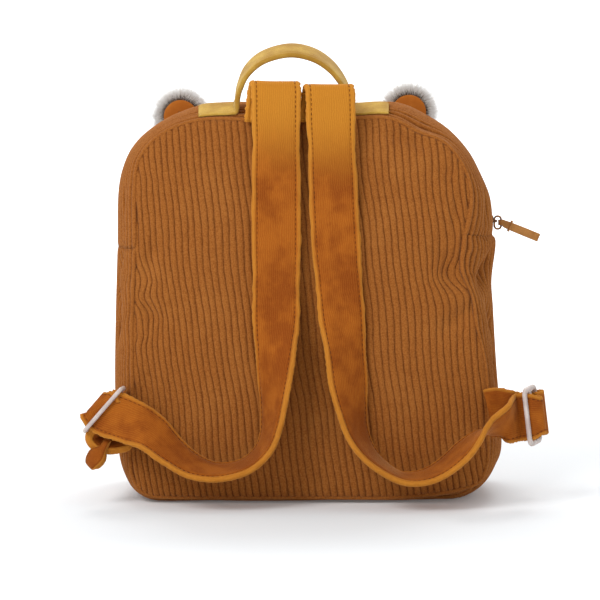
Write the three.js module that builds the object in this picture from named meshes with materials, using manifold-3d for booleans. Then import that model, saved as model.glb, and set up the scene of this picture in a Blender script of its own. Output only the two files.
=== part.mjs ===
// A child's animal backpack that stands on its base: corduroy body, velvet straps and furry ears.
// Lengths are millimetres. +Z is up, the straps are on the -Y side, and the base rests on Z = 0.
import * as THREE from "three";
import { mergeVertices } from "three/addons/utils/BufferGeometryUtils.js";
import Module from "manifold-3d";

const wasm = await Module();
wasm.setup();

// The bag's body
const bodyWidth = 277;
const bodyHeight = 281;
const baseDepth = 116;
const topDepth = 100;
const clothWall = 2.4;
const backCrown = 7;
const frontCrown = 13;
const seamGap = 0.42;
const seatGap = 0.3;

// The straps
const strapWidth = 34;
const strapThickness = 4.4;
const threadedWidth = 31;
const threadedThickness = 2.4;
const adjusterThickness = 2;
const strapFoldRadius = 6;
const strapRise = 29;

// The carry handle
const handleWidth = 24;
const handleThickness = 3.4;
const handleRise = 39.5;
const handleSpan = 81;
const handleOffset = -10.4;
const handleFoot = 26;
const handleTilt = 17;

// The moulded strap sliders
const sliderLength = 41;
const sliderBar = 3.2;
const nearWindow = 9;
const farWindow = 11;

// The ears
const earRadius = 14;
const earVelvetRadius = 12.4;
const earThickness = 5;
const earVelvetThickness = 3;
const earSpread = 165.5;
const earOffset = -9.8;
const earChord = -1.5;
const earVelvetChord = -2.5;
const lockLength = 8.5;
const lockWidth = 6.4;

// The zip and its pull
const zipPullLength = 30;
const zipPullWidth = 6;
const zipPullLayer = 1.1;
const pullWire = 1.4;
const pullLoopLength = 11.5;
const pullLoopWidth = 7.4;
const pullLoopCorner = 2.2;
const pullDrop = 24;
const zipSliderLength = 9;
const zipSliderWidth = 7;
const zipSliderThickness = 2.6;
const keeperPlace = 0.24;
const keeperThickness = 1;
const keeperPlay = 0.3;

const halfWidth = bodyWidth / 2;
const backY = -baseDepth / 2;

// A short table becomes a list of records, one for each row.
function readTable(columns, rows) {
  return rows.map((row) => Object.fromEntries(columns.map((name, index) => [name, row[index]])));
}

// The body's outline, clockwise from the middle of the base as the strap side shows it. The crest
// is the widest line of the gusset, and the seam is the back panel's edge. Across columns are
// shares of half the width, and up columns are shares of the height.
const outline = readTable(
  ["crestAcross", "crestUp", "seamAcross", "seamUp"],
  [
    [0.0, -0.014, 0.0, 0.018],
    [-0.45, -0.014, -0.45, 0.018],
    [-0.76, -0.012, -0.73, 0.018],
    [-0.885, 0.012, -0.835, 0.028],
    [-0.95, 0.055, -0.885, 0.06],
    [-0.985, 0.12, -0.9, 0.12],
    [-1.0, 0.265, -0.885, 0.27],
    [-0.995, 0.44, -0.885, 0.46],
    [-0.982, 0.635, -0.87, 0.645],
    [-0.975, 0.775, -0.87, 0.775],
    [-0.94, 0.85, -0.86, 0.845],
    [-0.88, 0.9, -0.825, 0.885],
    [-0.785, 0.94, -0.765, 0.917],
    [-0.66, 0.973, -0.665, 0.945],
    [-0.5, 0.995, -0.5, 0.962],
    [-0.25, 0.998, -0.25, 0.958],
    [0.0, 0.988, 0.0, 0.956],
    [0.25, 0.994, 0.25, 0.965],
    [0.455, 0.997, 0.41, 0.962],
    [0.62, 0.962, 0.55, 0.93],
    [0.73, 0.925, 0.66, 0.912],
    [0.82, 0.875, 0.735, 0.878],
    [0.876, 0.825, 0.785, 0.835],
    [0.928, 0.765, 0.808, 0.785],
    [0.945, 0.71, 0.8, 0.73],
    [0.949, 0.665, 0.777, 0.68],
    [0.963, 0.64, 0.768, 0.65],
    [0.943, 0.55, 0.765, 0.59],
    [0.951, 0.48, 0.82, 0.525],
    [0.959, 0.415, 0.84, 0.46],
    [0.97, 0.33, 0.885, 0.37],
    [0.985, 0.24, 0.905, 0.27],
    [1.0, 0.125, 0.905, 0.145],
    [0.97, 0.08, 0.895, 0.09],
    [0.921, 0.04, 0.86, 0.055],
    [0.84, 0.004, 0.78, 0.042],
    [0.72, -0.012, 0.66, 0.03],
    [0.4, -0.014, 0.4, 0.018],
  ],
);
const leftSeamRow = 8;
const rightSeamRow = 25;
const samplesPerRow = 2;
const columns = outline.length * samplesPerRow;

// Where the rings of the surface lie: on the panels as shares of the way from the middle to the
// seam, and on the gusset as shares of the way from the back seam to the front seam.
const backRings = [0.3, 0.6, 0.85, 0.97];
const gussetRings = [0, 0.06, 0.17, 0.33, 0.5, 0.64, 0.72, 0.88, 1];
const frontRings = [0.9, 0.65, 0.3];
const frontInset = { across: 0.93, up: 0.94 };
const panelMiddle = 0.5;
const bulgePower = 0.55;
const crownPower = 3;
const backSeamRing = backRings.length;
const zipFirstRing = backSeamRing + 5;
const zipLastRing = backSeamRing + 6;
const frontSeamRing = backSeamRing + gussetRings.length - 1;

// Dents and folds of the back panel: the place in shares of half the width and of the height,
// the angle from the horizontal, and length, width and depth as shares of the height.
const panelFolds = readTable(
  ["across", "up", "angle", "length", "width", "depth"],
  [
    [0.5, 0.915, -16, 0.075, 0.014, 0.016],
    [0.71, 0.6, -62, 0.05, 0.022, 0.02],
    [0.76, 0.47, 40, 0.05, 0.022, 0.014],
    [-0.8, 0.62, 70, 0.05, 0.02, 0.01],
    [-0.8, 0.48, -60, 0.05, 0.02, 0.011],
    [0.0, 0.55, 88, 0.3, 0.1, 0.006],
  ],
);

// Dents and folds of the gusset: the place on the crest line and the share of the way across it,
// the angle from the crest line, and length, width and depth as shares of the height.
const gussetFolds = readTable(
  ["across", "up", "way", "angle", "length", "width", "depth"],
  [
    [0.95, 0.575, 0.2, 38, 0.055, 0.022, 0.026],
    [0.955, 0.445, 0.22, -30, 0.05, 0.022, 0.014],
    [0.97, 0.34, 0.24, 28, 0.05, 0.02, 0.012],
    [0.6, 0.96, 0.09, 4, 0.1, 0.02, 0.012],
    [0.94, 0.73, 0.2, 18, 0.05, 0.02, 0.009],
    [-0.995, 0.6, 0.22, 40, 0.04, 0.018, 0.012],
    [-0.995, 0.52, 0.25, -36, 0.045, 0.018, 0.014],
    [-0.995, 0.43, 0.22, 34, 0.045, 0.018, 0.012],
    [-0.985, 0.15, 0.2, -20, 0.05, 0.02, 0.01],
    [0.985, 0.2, 0.2, 24, 0.05, 0.02, 0.01],
  ],
);

// A dent is deepest at its place and fades along and across its own direction.
function dentAt(fold, along, across) {
  const angle = THREE.MathUtils.degToRad(fold.angle);
  const lengthwise = along * Math.cos(angle) + across * Math.sin(angle);
  const crosswise = across * Math.cos(angle) - along * Math.sin(angle);
  const length = lengthwise / (fold.length * bodyHeight);
  const width = crosswise / (fold.width * bodyHeight);
  return -fold.depth * bodyHeight * Math.exp(-length * length - width * width);
}

// One value of the outline at a column: a row's own value, or the smooth middle of two rows.
function outlineValue(name, column) {
  const value = (row) => outline[(row + outline.length) % outline.length][name];
  const row = Math.floor(column / samplesPerRow);
  if (column % samplesPerRow === 0) {
    return value(row);
  }
  return (9 * (value(row) + value(row + 1)) - value(row - 1) - value(row + 2)) / 16;
}

function crestPoint(column) {
  return new THREE.Vector2(
    outlineValue("crestAcross", column) * halfWidth,
    outlineValue("crestUp", column) * bodyHeight,
  );
}

function backSeamPoint(column) {
  return new THREE.Vector2(
    outlineValue("seamAcross", column) * halfWidth,
    outlineValue("seamUp", column) * bodyHeight,
  );
}

function frontSeamPoint(column) {
  const crest = crestPoint(column);
  const middle = panelMiddle * bodyHeight;
  return new THREE.Vector2(
    crest.x * frontInset.across,
    middle + (crest.y - middle) * frontInset.up,
  );
}

function depthAt(height) {
  const share = THREE.MathUtils.clamp(height / bodyHeight, 0, 1);
  return THREE.MathUtils.lerp(baseDepth, topDepth, share);
}

// How far a panel stands out at a share of the way from its middle to its seam.
function crownAt(crown, share) {
  return crown * (1 - share ** crownPower);
}

// The ring of points across the back panel, the gusset or the front panel at one column.
function bodyPoint(ring, column) {
  if (ring < backSeamRing) {
    const share = backRings[ring];
    const seam = backSeamPoint(column);
    const x = seam.x * share;
    const z = THREE.MathUtils.lerp(panelMiddle * bodyHeight, seam.y, share);
    return new THREE.Vector3(x, backY - crownAt(backCrown, share), z);
  }
  if (ring <= frontSeamRing) {
    const way = gussetRings[ring - backSeamRing];
    const crest = crestPoint(column);
    const seam = way < 0.5 ? backSeamPoint(column) : frontSeamPoint(column);
    const bulge = Math.sin(Math.PI * way) ** bulgePower;
    const flat = seam.clone().lerp(crest, way === 0 || way === 1 ? 0 : bulge);
    return new THREE.Vector3(flat.x, backY + way * depthAt(flat.y), flat.y);
  }
  const share = frontRings[ring - frontSeamRing - 1];
  const seam = frontSeamPoint(column);
  const z = THREE.MathUtils.lerp(panelMiddle * bodyHeight, seam.y, share);
  return new THREE.Vector3(seam.x * share, backY + depthAt(z) + crownAt(frontCrown, share), z);
}

const ringCount = frontSeamRing + 1 + frontRings.length;

function wrapColumn(column) {
  return (column + columns) % columns;
}

// The outward normal at each point of a grid of rings and columns.
function gridNormals(grid) {
  return grid.map((ring, index) => ring.map((_, column) => {
    const before = grid[Math.max(index - 1, 0)][column];
    const after = grid[Math.min(index + 1, ringCount - 1)][column];
    const acrossRings = after.clone().sub(before);
    const alongRing = ring[wrapColumn(column + 1)].clone().sub(ring[wrapColumn(column - 1)]);
    return alongRing.cross(acrossRings).normalize();
  }));
}

// How far the folds push the surface out at one point.
function reliefAt(ring, column, point) {
  if (ring < backSeamRing) {
    const dents = panelFolds.map((fold) => dentAt(
      fold,
      point.x - fold.across * halfWidth,
      point.z - fold.up * bodyHeight,
    ));
    return dents.reduce((sum, dent) => sum + dent, 0);
  }
  if (ring === backSeamRing || ring >= frontSeamRing) {
    return 0;
  }
  const way = gussetRings[ring - backSeamRing];
  const crest = crestPoint(column);
  const dents = gussetFolds.map((fold) => {
    const offset = new THREE.Vector2(fold.across * halfWidth, fold.up * bodyHeight).sub(crest);
    const tangent = crestPoint(wrapColumn(column + 1)).sub(crestPoint(wrapColumn(column - 1)));
    const side = Math.sign(offset.dot(tangent)) || 1;
    return dentAt(fold, side * offset.length(), (way - fold.way) * baseDepth);
  });
  return dents.reduce((sum, dent) => sum + dent, 0);
}

// The whole outer surface, with its folds and flattened where it rests.
function makeSurface() {
  const smooth = Array.from({ length: ringCount }, (_, ring) => (
    Array.from({ length: columns }, (_, column) => bodyPoint(ring, column))
  ));
  const normals = gridNormals(smooth);
  return smooth.map((ring, index) => ring.map((point, column) => {
    const relief = reliefAt(index, column, point);
    const moved = point.clone().addScaledVector(normals[index][column], relief);
    moved.z = Math.max(moved.z, 0);
    return moved;
  }));
}

const outer = makeSurface();
const outerNormals = gridNormals(outer);

// The inner face of the cloth, set in by the wall and mitred where two pieces meet.
const mitreLimit = 0.7;
const inner = outer.map((ring, index) => ring.map((point, column) => {
  const normal = outerNormals[index][column];
  const other = outer[index + 1 < ringCount ? index + 1 : index - 1][column];
  const along = ring[wrapColumn(column + 1)].clone().sub(ring[wrapColumn(column - 1)]);
  const face = along.cross(other.clone().sub(point)).normalize();
  const straight = Math.max(Math.abs(face.dot(normal)), mitreLimit);
  return point.clone().addScaledVector(normal, -clothWall / straight);
}));

// The middle of a panel, where its rings close.
function poleOf(grid, ring, crown) {
  const middle = new THREE.Vector3();
  grid[ring].forEach((point) => middle.add(point));
  middle.divideScalar(columns);
  middle.y += crown;
  return middle;
}

// Points and triangles that share them become one closed solid.
function solidFrom(points, triangles) {
  const geometry = new THREE.BufferGeometry();
  const values = points.flatMap((point) => [point.x, point.y, point.z]);
  geometry.setAttribute("position", new THREE.Float32BufferAttribute(values, 3));
  geometry.setIndex(triangles.flat());
  return geometry;
}

// A cloth piece is a patch of the surface between two rings and two columns. Its edges step back
// by half a seam gap, so that neighbours don't touch. A panel closes on a pole instead of a ring.
function clothPatch({ rings, from, to, pole }) {
  const closed = from === undefined;
  const first = closed ? 0 : from;
  const count = closed ? columns : to - from + 1;
  const points = [];
  const triangles = [];
  const stepBack = (grid, ring, column) => {
    const here = grid[ring][wrapColumn(column)].clone();
    const shift = new THREE.Vector3();
    const start = outer[ring][wrapColumn(column)];
    const towards = (otherRing, otherColumn) => outer[otherRing][wrapColumn(otherColumn)].clone()
      .sub(start).setLength(seamGap / 2);
    if (ring === rings[0] && pole !== "start") {
      shift.add(towards(rings[1], column));
    }
    if (ring === rings[rings.length - 1] && pole !== "end") {
      shift.add(towards(rings[rings.length - 2], column));
    }
    if (!closed && column === from) {
      shift.add(towards(ring, column + 1));
    }
    if (!closed && column === to) {
      shift.add(towards(ring, column - 1));
    }
    return here.add(shift);
  };
  for (const grid of [outer, inner]) {
    for (const ring of rings) {
      for (let step = 0; step < count; step += 1) {
        points.push(stepBack(grid, ring, first + step));
      }
    }
  }
  const layerSize = rings.length * count;
  const at = (layer, row, step) => layer * layerSize + row * count + (closed ? step % count : step);
  const steps = closed ? count : count - 1;
  const quad = (a, b, c, d) => triangles.push([a, b, c], [a, c, d]);
  for (let step = 0; step < steps; step += 1) {
    for (let row = 0; row < rings.length - 1; row += 1) {
      quad(at(0, row, step), at(0, row, step + 1), at(0, row + 1, step + 1), at(0, row + 1, step));
      quad(at(1, row + 1, step), at(1, row + 1, step + 1), at(1, row, step + 1), at(1, row, step));
    }
    const last = rings.length - 1;
    if (pole !== "start") {
      quad(at(1, 0, step), at(1, 0, step + 1), at(0, 0, step + 1), at(0, 0, step));
    }
    if (pole !== "end") {
      quad(at(0, last, step), at(0, last, step + 1), at(1, last, step + 1), at(1, last, step));
    }
  }
  if (!closed) {
    for (let row = 0; row < rings.length - 1; row += 1) {
      quad(at(0, row, 0), at(0, row + 1, 0), at(1, row + 1, 0), at(1, row, 0));
      quad(at(0, row + 1, steps), at(0, row, steps), at(1, row, steps), at(1, row + 1, steps));
    }
  }
  if (pole) {
    const row = pole === "start" ? 0 : rings.length - 1;
    const tipRise = pole === "start"
      ? crownAt(backCrown, backRings[0]) - backCrown
      : frontCrown - crownAt(frontCrown, frontRings[frontRings.length - 1]);
    [outer, inner].forEach((grid, layer) => {
      const tip = points.push(poleOf(grid, rings[row], tipRise)) - 1;
      for (let step = 0; step < steps; step += 1) {
        const pair = [at(layer, row, step), at(layer, row, step + 1)];
        const facesOut = (pole === "start") === (layer === 0);
        triangles.push(facesOut ? [tip, pair[1], pair[0]] : [tip, pair[0], pair[1]]);
      }
    });
  }
  return solidFrom(points, triangles);
}

// Smooth values through a list of stations.
function throughStations(stations, steps, name) {
  const values = [];
  for (let span = 0; span < stations.length - 1; span += 1) {
    const corner = (index) => stations[THREE.MathUtils.clamp(index, 0, stations.length - 1)][name];
    const four = [corner(span - 1), corner(span), corner(span + 1), corner(span + 2)];
    const last = span === stations.length - 2 ? steps : steps - 1;
    for (let step = 0; step <= last; step += 1) {
      values.push(smoothStep(four, step / steps));
    }
  }
  return values;
}

function smoothStep([p0, p1, p2, p3], t) {
  const weights = [
    -0.5 * t + t * t - 0.5 * t ** 3,
    1 - 2.5 * t * t + 1.5 * t ** 3,
    0.5 * t + 2 * t * t - 1.5 * t ** 3,
    -0.5 * t * t + 0.5 * t ** 3,
  ];
  if (typeof p0 === "number") {
    return p0 * weights[0] + p1 * weights[1] + p2 * weights[2] + p3 * weights[3];
  }
  return p0.clone().multiplyScalar(weights[0]).addScaledVector(p1, weights[1])
    .addScaledVector(p2, weights[2]).addScaledVector(p3, weights[3]);
}

// A rounded flat section, in the band's width and thickness directions.
const bandRounding = 0.8;

function bandSection(width, thickness) {
  const side = width / 2;
  const face = thickness / 2;
  const shoulder = side - face * bandRounding;
  return [
    [side, 0], [shoulder, face], [0, face], [-shoulder, face],
    [-side, 0], [-shoulder, -face], [0, -face], [shoulder, -face],
  ];
}

function roundSection(diameter, sides) {
  return Array.from({ length: sides }, (_, index) => {
    const angle = (index / sides) * 2 * Math.PI;
    return [Math.cos(angle) * diameter / 2, Math.sin(angle) * diameter / 2];
  });
}

// A solid swept along rings of points. An open sweep is capped at both ends.
function sweep(rings, closed) {
  const size = rings[0].length;
  const points = rings.flat();
  const triangles = [];
  const last = closed ? rings.length : rings.length - 1;
  const at = (ring, index) => (ring % rings.length) * size + (index % size);
  for (let ring = 0; ring < last; ring += 1) {
    for (let index = 0; index < size; index += 1) {
      const start = at(ring, index);
      const opposite = at(ring + 1, index + 1);
      triangles.push([start, at(ring, index + 1), opposite], [start, opposite, at(ring + 1, index)]);
    }
  }
  if (!closed) {
    for (let index = 1; index < size - 1; index += 1) {
      triangles.push([0, index + 1, index]);
      triangles.push([at(last, 0), at(last, index), at(last, index + 1)]);
    }
  }
  return solidFrom(points, triangles);
}

// A band through stations, each with a place, a direction across, a width and a thickness.
function makeBand(stations, steps) {
  const places = throughStations(stations, steps, "place");
  const acrossList = throughStations(stations, steps, "across");
  const widths = throughStations(stations, steps, "width");
  const thicknesses = throughStations(stations, steps, "thickness");
  const rings = places.map((place, index) => {
    const ahead = places[Math.min(index + 1, places.length - 1)];
    const behind = places[Math.max(index - 1, 0)];
    const tangent = ahead.clone().sub(behind).normalize();
    const across = acrossList[index].clone();
    across.addScaledVector(tangent, -across.dot(tangent)).normalize();
    const normal = tangent.clone().cross(across);
    return bandSection(widths[index], thicknesses[index]).map(([side, face]) => (
      place.clone().addScaledVector(across, side).addScaledVector(normal, face)
    ));
  });
  return sweep(rings, false);
}

// A closed ring of wire or bar in the plane of two directions.
function makeLoop({ middle, long, short, length, width, corner, diameter, sides, cornerSteps }) {
  const facing = long.clone().cross(short).normalize();
  const rings = [];
  for (let quarter = 0; quarter < 4; quarter += 1) {
    const alongSign = quarter === 0 || quarter === 3 ? 1 : -1;
    const acrossSign = quarter < 2 ? 1 : -1;
    const centre = middle.clone()
      .addScaledVector(long, alongSign * (length / 2 - corner))
      .addScaledVector(short, acrossSign * (width / 2 - corner));
    for (let step = 0; step <= cornerSteps; step += 1) {
      const angle = (quarter + step / cornerSteps) * (Math.PI / 2);
      const out = long.clone().multiplyScalar(Math.cos(angle))
        .addScaledVector(short, Math.sin(angle));
      const onPath = centre.clone().addScaledVector(out, corner);
      rings.push(roundSection(diameter, sides).map(([side, rise]) => (
        onPath.clone().addScaledVector(out, side).addScaledVector(facing, rise)
      )));
    }
  }
  return sweep(rings.reverse(), true);
}

function toManifold(geometry) {
  const plain = geometry.clone();
  plain.deleteAttribute("normal");
  plain.deleteAttribute("uv");
  const merged = mergeVertices(plain, 1e-4);
  return new wasm.Manifold(new wasm.Mesh({
    numProp: 3,
    vertProperties: new Float32Array(merged.attributes.position.array),
    triVerts: new Uint32Array(merged.index.array),
  }));
}

function toGeometry(manifold) {
  const mesh = manifold.getMesh();
  const geometry = new THREE.BufferGeometry();
  geometry.setAttribute("position", new THREE.Float32BufferAttribute(mesh.vertProperties, 3));
  geometry.setIndex(Array.from(mesh.triVerts));
  return geometry;
}

function fuse(geometries) {
  const [first, ...rest] = geometries.map(toManifold);
  return toGeometry(rest.reduce((sum, next) => sum.add(next), first));
}

// A point of the gusset's outer face: a column that may lie between two, and a ring likewise.
function surfaceAt(ring, column) {
  const lower = Math.floor(column);
  const share = column - lower;
  const ringLower = Math.min(Math.floor(ring), ringCount - 2);
  const ringShare = ring - ringLower;
  const pick = (grid) => {
    const near = grid[ringLower][wrapColumn(lower)].clone()
      .lerp(grid[ringLower][wrapColumn(lower + 1)], share);
    const far = grid[ringLower + 1][wrapColumn(lower)].clone()
      .lerp(grid[ringLower + 1][wrapColumn(lower + 1)], share);
    return near.lerp(far, ringShare);
  };
  return { place: pick(outer), normal: pick(outerNormals).normalize() };
}

// The column of the top arch whose point lies at a given distance across.
function archColumn(ring, x) {
  const first = leftSeamRow * samplesPerRow;
  const last = rightSeamRow * samplesPerRow;
  for (let column = first; column < last; column += 1) {
    const here = outer[ring][column].x;
    const next = outer[ring][column + 1].x;
    if (here <= x && next >= x) {
      return column + (x - here) / (next - here);
    }
  }
  return (first + last) / 2;
}

// The column of a side of the body whose point lies at a given height.
function sideColumn(ring, height, side) {
  const first = side < 0 ? 3 * samplesPerRow : rightSeamRow * samplesPerRow;
  const last = side < 0 ? leftSeamRow * samplesPerRow : (outline.length - 4) * samplesPerRow;
  for (let column = first; column < last; column += 1) {
    const here = outer[ring][column].z;
    const next = outer[ring][column + 1].z;
    if ((here - height) * (next - height) <= 0) {
      return column + (height - here) / (next - here);
    }
  }
  return (first + last) / 2;
}

// A direction across a band: an angle in the picture plane, then a turn towards the strap side.
function acrossFrom(lean, turn) {
  const leanAngle = THREE.MathUtils.degToRad(lean);
  const turnAngle = THREE.MathUtils.degToRad(turn);
  return new THREE.Vector3(
    Math.cos(leanAngle) * Math.cos(turnAngle),
    -Math.sin(turnAngle),
    Math.sin(leanAngle) * Math.cos(turnAngle),
  );
}

// Each slider has its own frame: its near bar's middle, the bar direction, the way from the near
// bar to the far bar, and the way that the strap comes out of it.
function sliderFrame({ across, up, stand, lean, swing }) {
  const bar = acrossFrom(lean, 0);
  const swingAngle = THREE.MathUtils.degToRad(swing);
  const sideways = new THREE.Vector3(0, Math.sign(across), 0).cross(bar).normalize();
  const inward = new THREE.Vector3(0, Math.cos(swingAngle), 0)
    .addScaledVector(sideways, Math.sin(swingAngle));
  const outward = new THREE.Vector3(0, -Math.sin(swingAngle), 0)
    .addScaledVector(sideways, Math.cos(swingAngle));
  const near = new THREE.Vector3(across * halfWidth, backY - stand, up * bodyHeight);
  return { near, bar, inward, outward };
}

const sliders = {
  left: sliderFrame({ across: -1.04, up: 0.246, stand: 19, lean: 49, swing: -6 }),
  right: sliderFrame({ across: 1.1, up: 0.228, stand: 20, lean: 97, swing: 32 }),
};

// The way of a threaded strap through a slider: steps inward from the near bar and outward.
function threadStations(frame, steps, width, thickness) {
  return steps.map(({ inward, outward }) => ({
    place: frame.near.clone().addScaledVector(frame.inward, inward)
      .addScaledVector(frame.outward, outward),
    across: frame.bar.clone(),
    width,
    thickness,
  }));
}

const passBar = sliderBar / 2 + seatGap + threadedThickness / 2;
const strapThread = readTable(
  ["inward", "outward"],
  [
    [passBar, -8],
    [passBar, -1],
    [passBar + 0.6, 3.5],
    [nearWindow - 2.4, 7.6],
    [nearWindow + 0.8, 7.8],
    [nearWindow + passBar, 4],
    [nearWindow + passBar, -0.2],
    [nearWindow + passBar - 0.6, -3.8],
  ],
);
const farBar = nearWindow + farWindow;
const adjusterThread = readTable(
  ["inward", "outward"],
  [
    [farBar - 7, -10],
    [farBar - 2, -8.4],
    [farBar + 3, -5.6],
    [farBar + 5.2, -0.8],
    [farBar + 3.6, 4.2],
    [farBar - 0.6, 5.6],
    [farBar - 3.9, 3.2],
    [farBar - 4.3, -0.6],
    [farBar - 4.5, -4.2],
  ],
);

// The shoulder straps below their fold: the place in shares of half the width and of the height,
// how far the band stands off the back seams in shares of its width, and how it leans and turns.
const strapColumns = ["across", "up", "stand", "lean", "turn", "width"];
const strapRoutes = {
  left: readTable(strapColumns, [
    [-0.163, 0.93, 0.36, 0, 0, 1],
    [-0.163, 0.69, 0.33, 0, 0, 1],
    [-0.164, 0.49, 0.39, 0, 8, 1],
    [-0.165, 0.4, 0.55, -1, 34, 1],
    [-0.172, 0.314, 0.65, -4, 50, 1],
    [-0.184, 0.221, 0.71, -12, 65, 1],
    [-0.214, 0.163, 0.76, -28, 74, 1],
    [-0.284, 0.121, 0.78, -52, 80, 1],
    [-0.37, 0.101, 0.79, -74, 82, 1],
    [-0.48, 0.096, 0.79, -94, 79, 1],
    [-0.591, 0.113, 0.78, -114, 68, 1],
    [-0.696, 0.15, 0.76, -125, 58, 1],
    [-0.797, 0.194, 0.7, -129, 42, 1],
    [-0.894, 0.227, 0.6, -129, 16, 0.99],
  ]),
  right: readTable(strapColumns, [
    [0.113, 0.93, 0.36, 0, 0, 1],
    [0.133, 0.69, 0.33, 0, 0, 1],
    [0.164, 0.494, 0.42, 0, -12, 1],
    [0.184, 0.39, 0.56, 3, -34, 1],
    [0.199, 0.314, 0.61, 6, -40, 1],
    [0.216, 0.25, 0.66, 12, -52, 1],
    [0.241, 0.194, 0.7, 24, -64, 1],
    [0.292, 0.146, 0.75, 40, -75, 1],
    [0.37, 0.108, 0.78, 56, -83, 1],
    [0.46, 0.082, 0.79, 80, -88, 1],
    [0.541, 0.079, 0.79, 96, -86, 1],
    [0.621, 0.09, 0.79, 112, -82, 1],
    [0.701, 0.115, 0.79, 126, -78, 1],
    [0.786, 0.153, 0.79, 134, -77, 1],
    [0.861, 0.188, 0.79, 130, -90, 1],
    [0.917, 0.205, 0.78, 118, -116, 1],
    [0.993, 0.218, 0.72, 104, -142, 0.97],
  ]),
};

// The straps are sewn into the top seam, rise, and fold over towards the wearer. Rise is a share
// of the whole rise, forward a share of the fold's radius, and shift the share of the way to the
// strap's place on the back.
const strapRoots = { left: -0.2, right: 0.135 };
const strapSeamStand = 0.9;
const strapFold = readTable(
  ["rise", "forward", "shift"],
  [
    [-0.11, 0, 0],
    [0.38, 0.1, 0.2],
    [0.82, 0.13, 0.5],
    [1.0, 1.0, 0.8],
    [0.8, 1.93, 1],
  ],
);

function shoulderStrap(side) {
  const route = strapRoutes[side];
  const column = archColumn(backSeamRing, strapRoots[side] * halfWidth);
  const seam = surfaceAt(backSeamRing, column).place;
  const rootY = seam.y - seatGap - strapThickness / 2 - strapSeamStand;
  const top = strapRise - strapThickness / 2;
  const start = strapFold.map(({ rise, forward, shift }) => ({
    place: new THREE.Vector3(
      THREE.MathUtils.lerp(seam.x, route[0].across * halfWidth, shift),
      rootY - forward * strapFoldRadius,
      seam.z + rise * top,
    ),
    across: new THREE.Vector3(1, 0, 0),
    width: strapWidth,
    thickness: strapThickness,
  }));
  const middle = route.map((row) => ({
    place: new THREE.Vector3(
      row.across * halfWidth,
      backY - row.stand * strapWidth,
      row.up * bodyHeight,
    ),
    across: acrossFrom(row.lean, row.turn),
    width: row.width * strapWidth,
    thickness: strapThickness,
  }));
  const end = threadStations(sliders[side], strapThread, threadedWidth, threadedThickness);
  end.forEach((station) => station.across.negate());
  return makeBand([...start, ...middle, ...end], 2);
}

// The adjuster straps come out of the side seams and run round the far bar of each slider.
const adjusterRoots = {
  left: { up: 0.176, bow: -1, stand: 2.7 },
  right: { up: 0.256, bow: 1.5, stand: 1.7 },
};
const adjusterWay = readTable(
  ["share", "turned", "bowed"],
  [
    [0, 0.5, 0],
    [0.3, 0.55, 0.4],
    [0.65, 0.85, 1],
  ],
);

function adjusterStrap(side) {
  const sign = side === "left" ? -1 : 1;
  const root = adjusterRoots[side];
  const height = root.up * bodyHeight;
  const seam = surfaceAt(backSeamRing, sideColumn(backSeamRing, height, sign)).place;
  const upright = new THREE.Vector3(0, 0, 1);
  const start = new THREE.Vector3(
    seam.x,
    seam.y - seatGap - adjusterThickness / 2 - root.stand,
    height,
  );
  const thread = threadStations(sliders[side], adjusterThread, threadedWidth, adjusterThickness);
  const way = adjusterWay.map(({ share, turned, bowed }) => {
    const place = start.clone().lerp(thread[0].place, share);
    place.y -= root.bow * bowed;
    return {
      place,
      across: upright.clone().lerp(sliders[side].bar, turned).normalize(),
      width: threadedWidth,
      thickness: adjusterThickness,
    };
  });
  return makeBand([...way, ...thread], 2);
}

function turnFromUpright(direction) {
  return new THREE.Quaternion().setFromUnitVectors(new THREE.Vector3(0, 1, 0), direction);
}

// A moulded slider: a rounded frame with one bar across its middle.
function strapSlider(side) {
  const { near, bar, inward } = sliders[side];
  const breadth = nearWindow + farWindow;
  const middle = near.clone().addScaledVector(inward, breadth / 2);
  const frame = makeLoop({
    middle,
    long: bar,
    short: inward,
    length: sliderLength - sliderBar,
    width: breadth,
    corner: sliderBar,
    diameter: sliderBar,
    sides: 8,
    cornerSteps: 3,
  });
  const crossBar = new THREE.CylinderGeometry(
    sliderBar / 2,
    sliderBar / 2,
    sliderLength - sliderBar,
    8,
  );
  crossBar.applyQuaternion(turnFromUpright(bar));
  const barMiddle = near.clone().addScaledVector(inward, nearWindow);
  crossBar.translate(barMiddle.x, barMiddle.y, barMiddle.z);
  return fuse([frame, crossBar]);
}

// The handle's feet lie flat on the top gusset, and its arch rises between them.
const handleRing = backSeamRing + 1.9;
const handleArch = readTable(
  ["way", "rise"],
  [
    [0.0, 0.02],
    [0.03, 0.33],
    [0.1, 0.64],
    [0.24, 0.88],
    [0.46, 1.0],
    [0.66, 0.93],
    [0.82, 0.72],
    [0.93, 0.42],
    [1.0, 0.06],
  ],
);

const handleSeat = 0.8;
const footSpread = 1.04;
const footShares = [1, 0.5, 0.12];

function carryHandle() {
  const tilt = THREE.MathUtils.degToRad(handleTilt);
  const across = new THREE.Vector3(0, -Math.cos(tilt), -Math.sin(tilt));
  const lift = seatGap + handleThickness / 2 + handleSeat;
  const left = handleOffset - handleSpan / 2;
  const right = handleOffset + handleSpan / 2;
  const onTop = (x) => {
    const { place, normal } = surfaceAt(handleRing, archColumn(backSeamRing + 2, x));
    return place.addScaledVector(normal, lift);
  };
  const station = (place, spread) => ({
    place,
    across: across.clone(),
    width: handleWidth * spread,
    thickness: handleThickness,
  });
  const leftFoot = onTop(left);
  const rightFoot = onTop(right);
  const arch = handleArch.map(({ way, rise }) => {
    const place = leftFoot.clone().lerp(rightFoot, way);
    place.z += rise * handleRise;
    return station(place, 1);
  });
  const leftEnd = footShares.map((share) => station(onTop(left - share * handleFoot), footSpread));
  const rightEnd = footShares.map((share) => station(onTop(right + share * handleFoot), footSpread));
  return makeBand([...leftEnd, ...arch, ...rightEnd.reverse()], 2);
}

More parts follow.
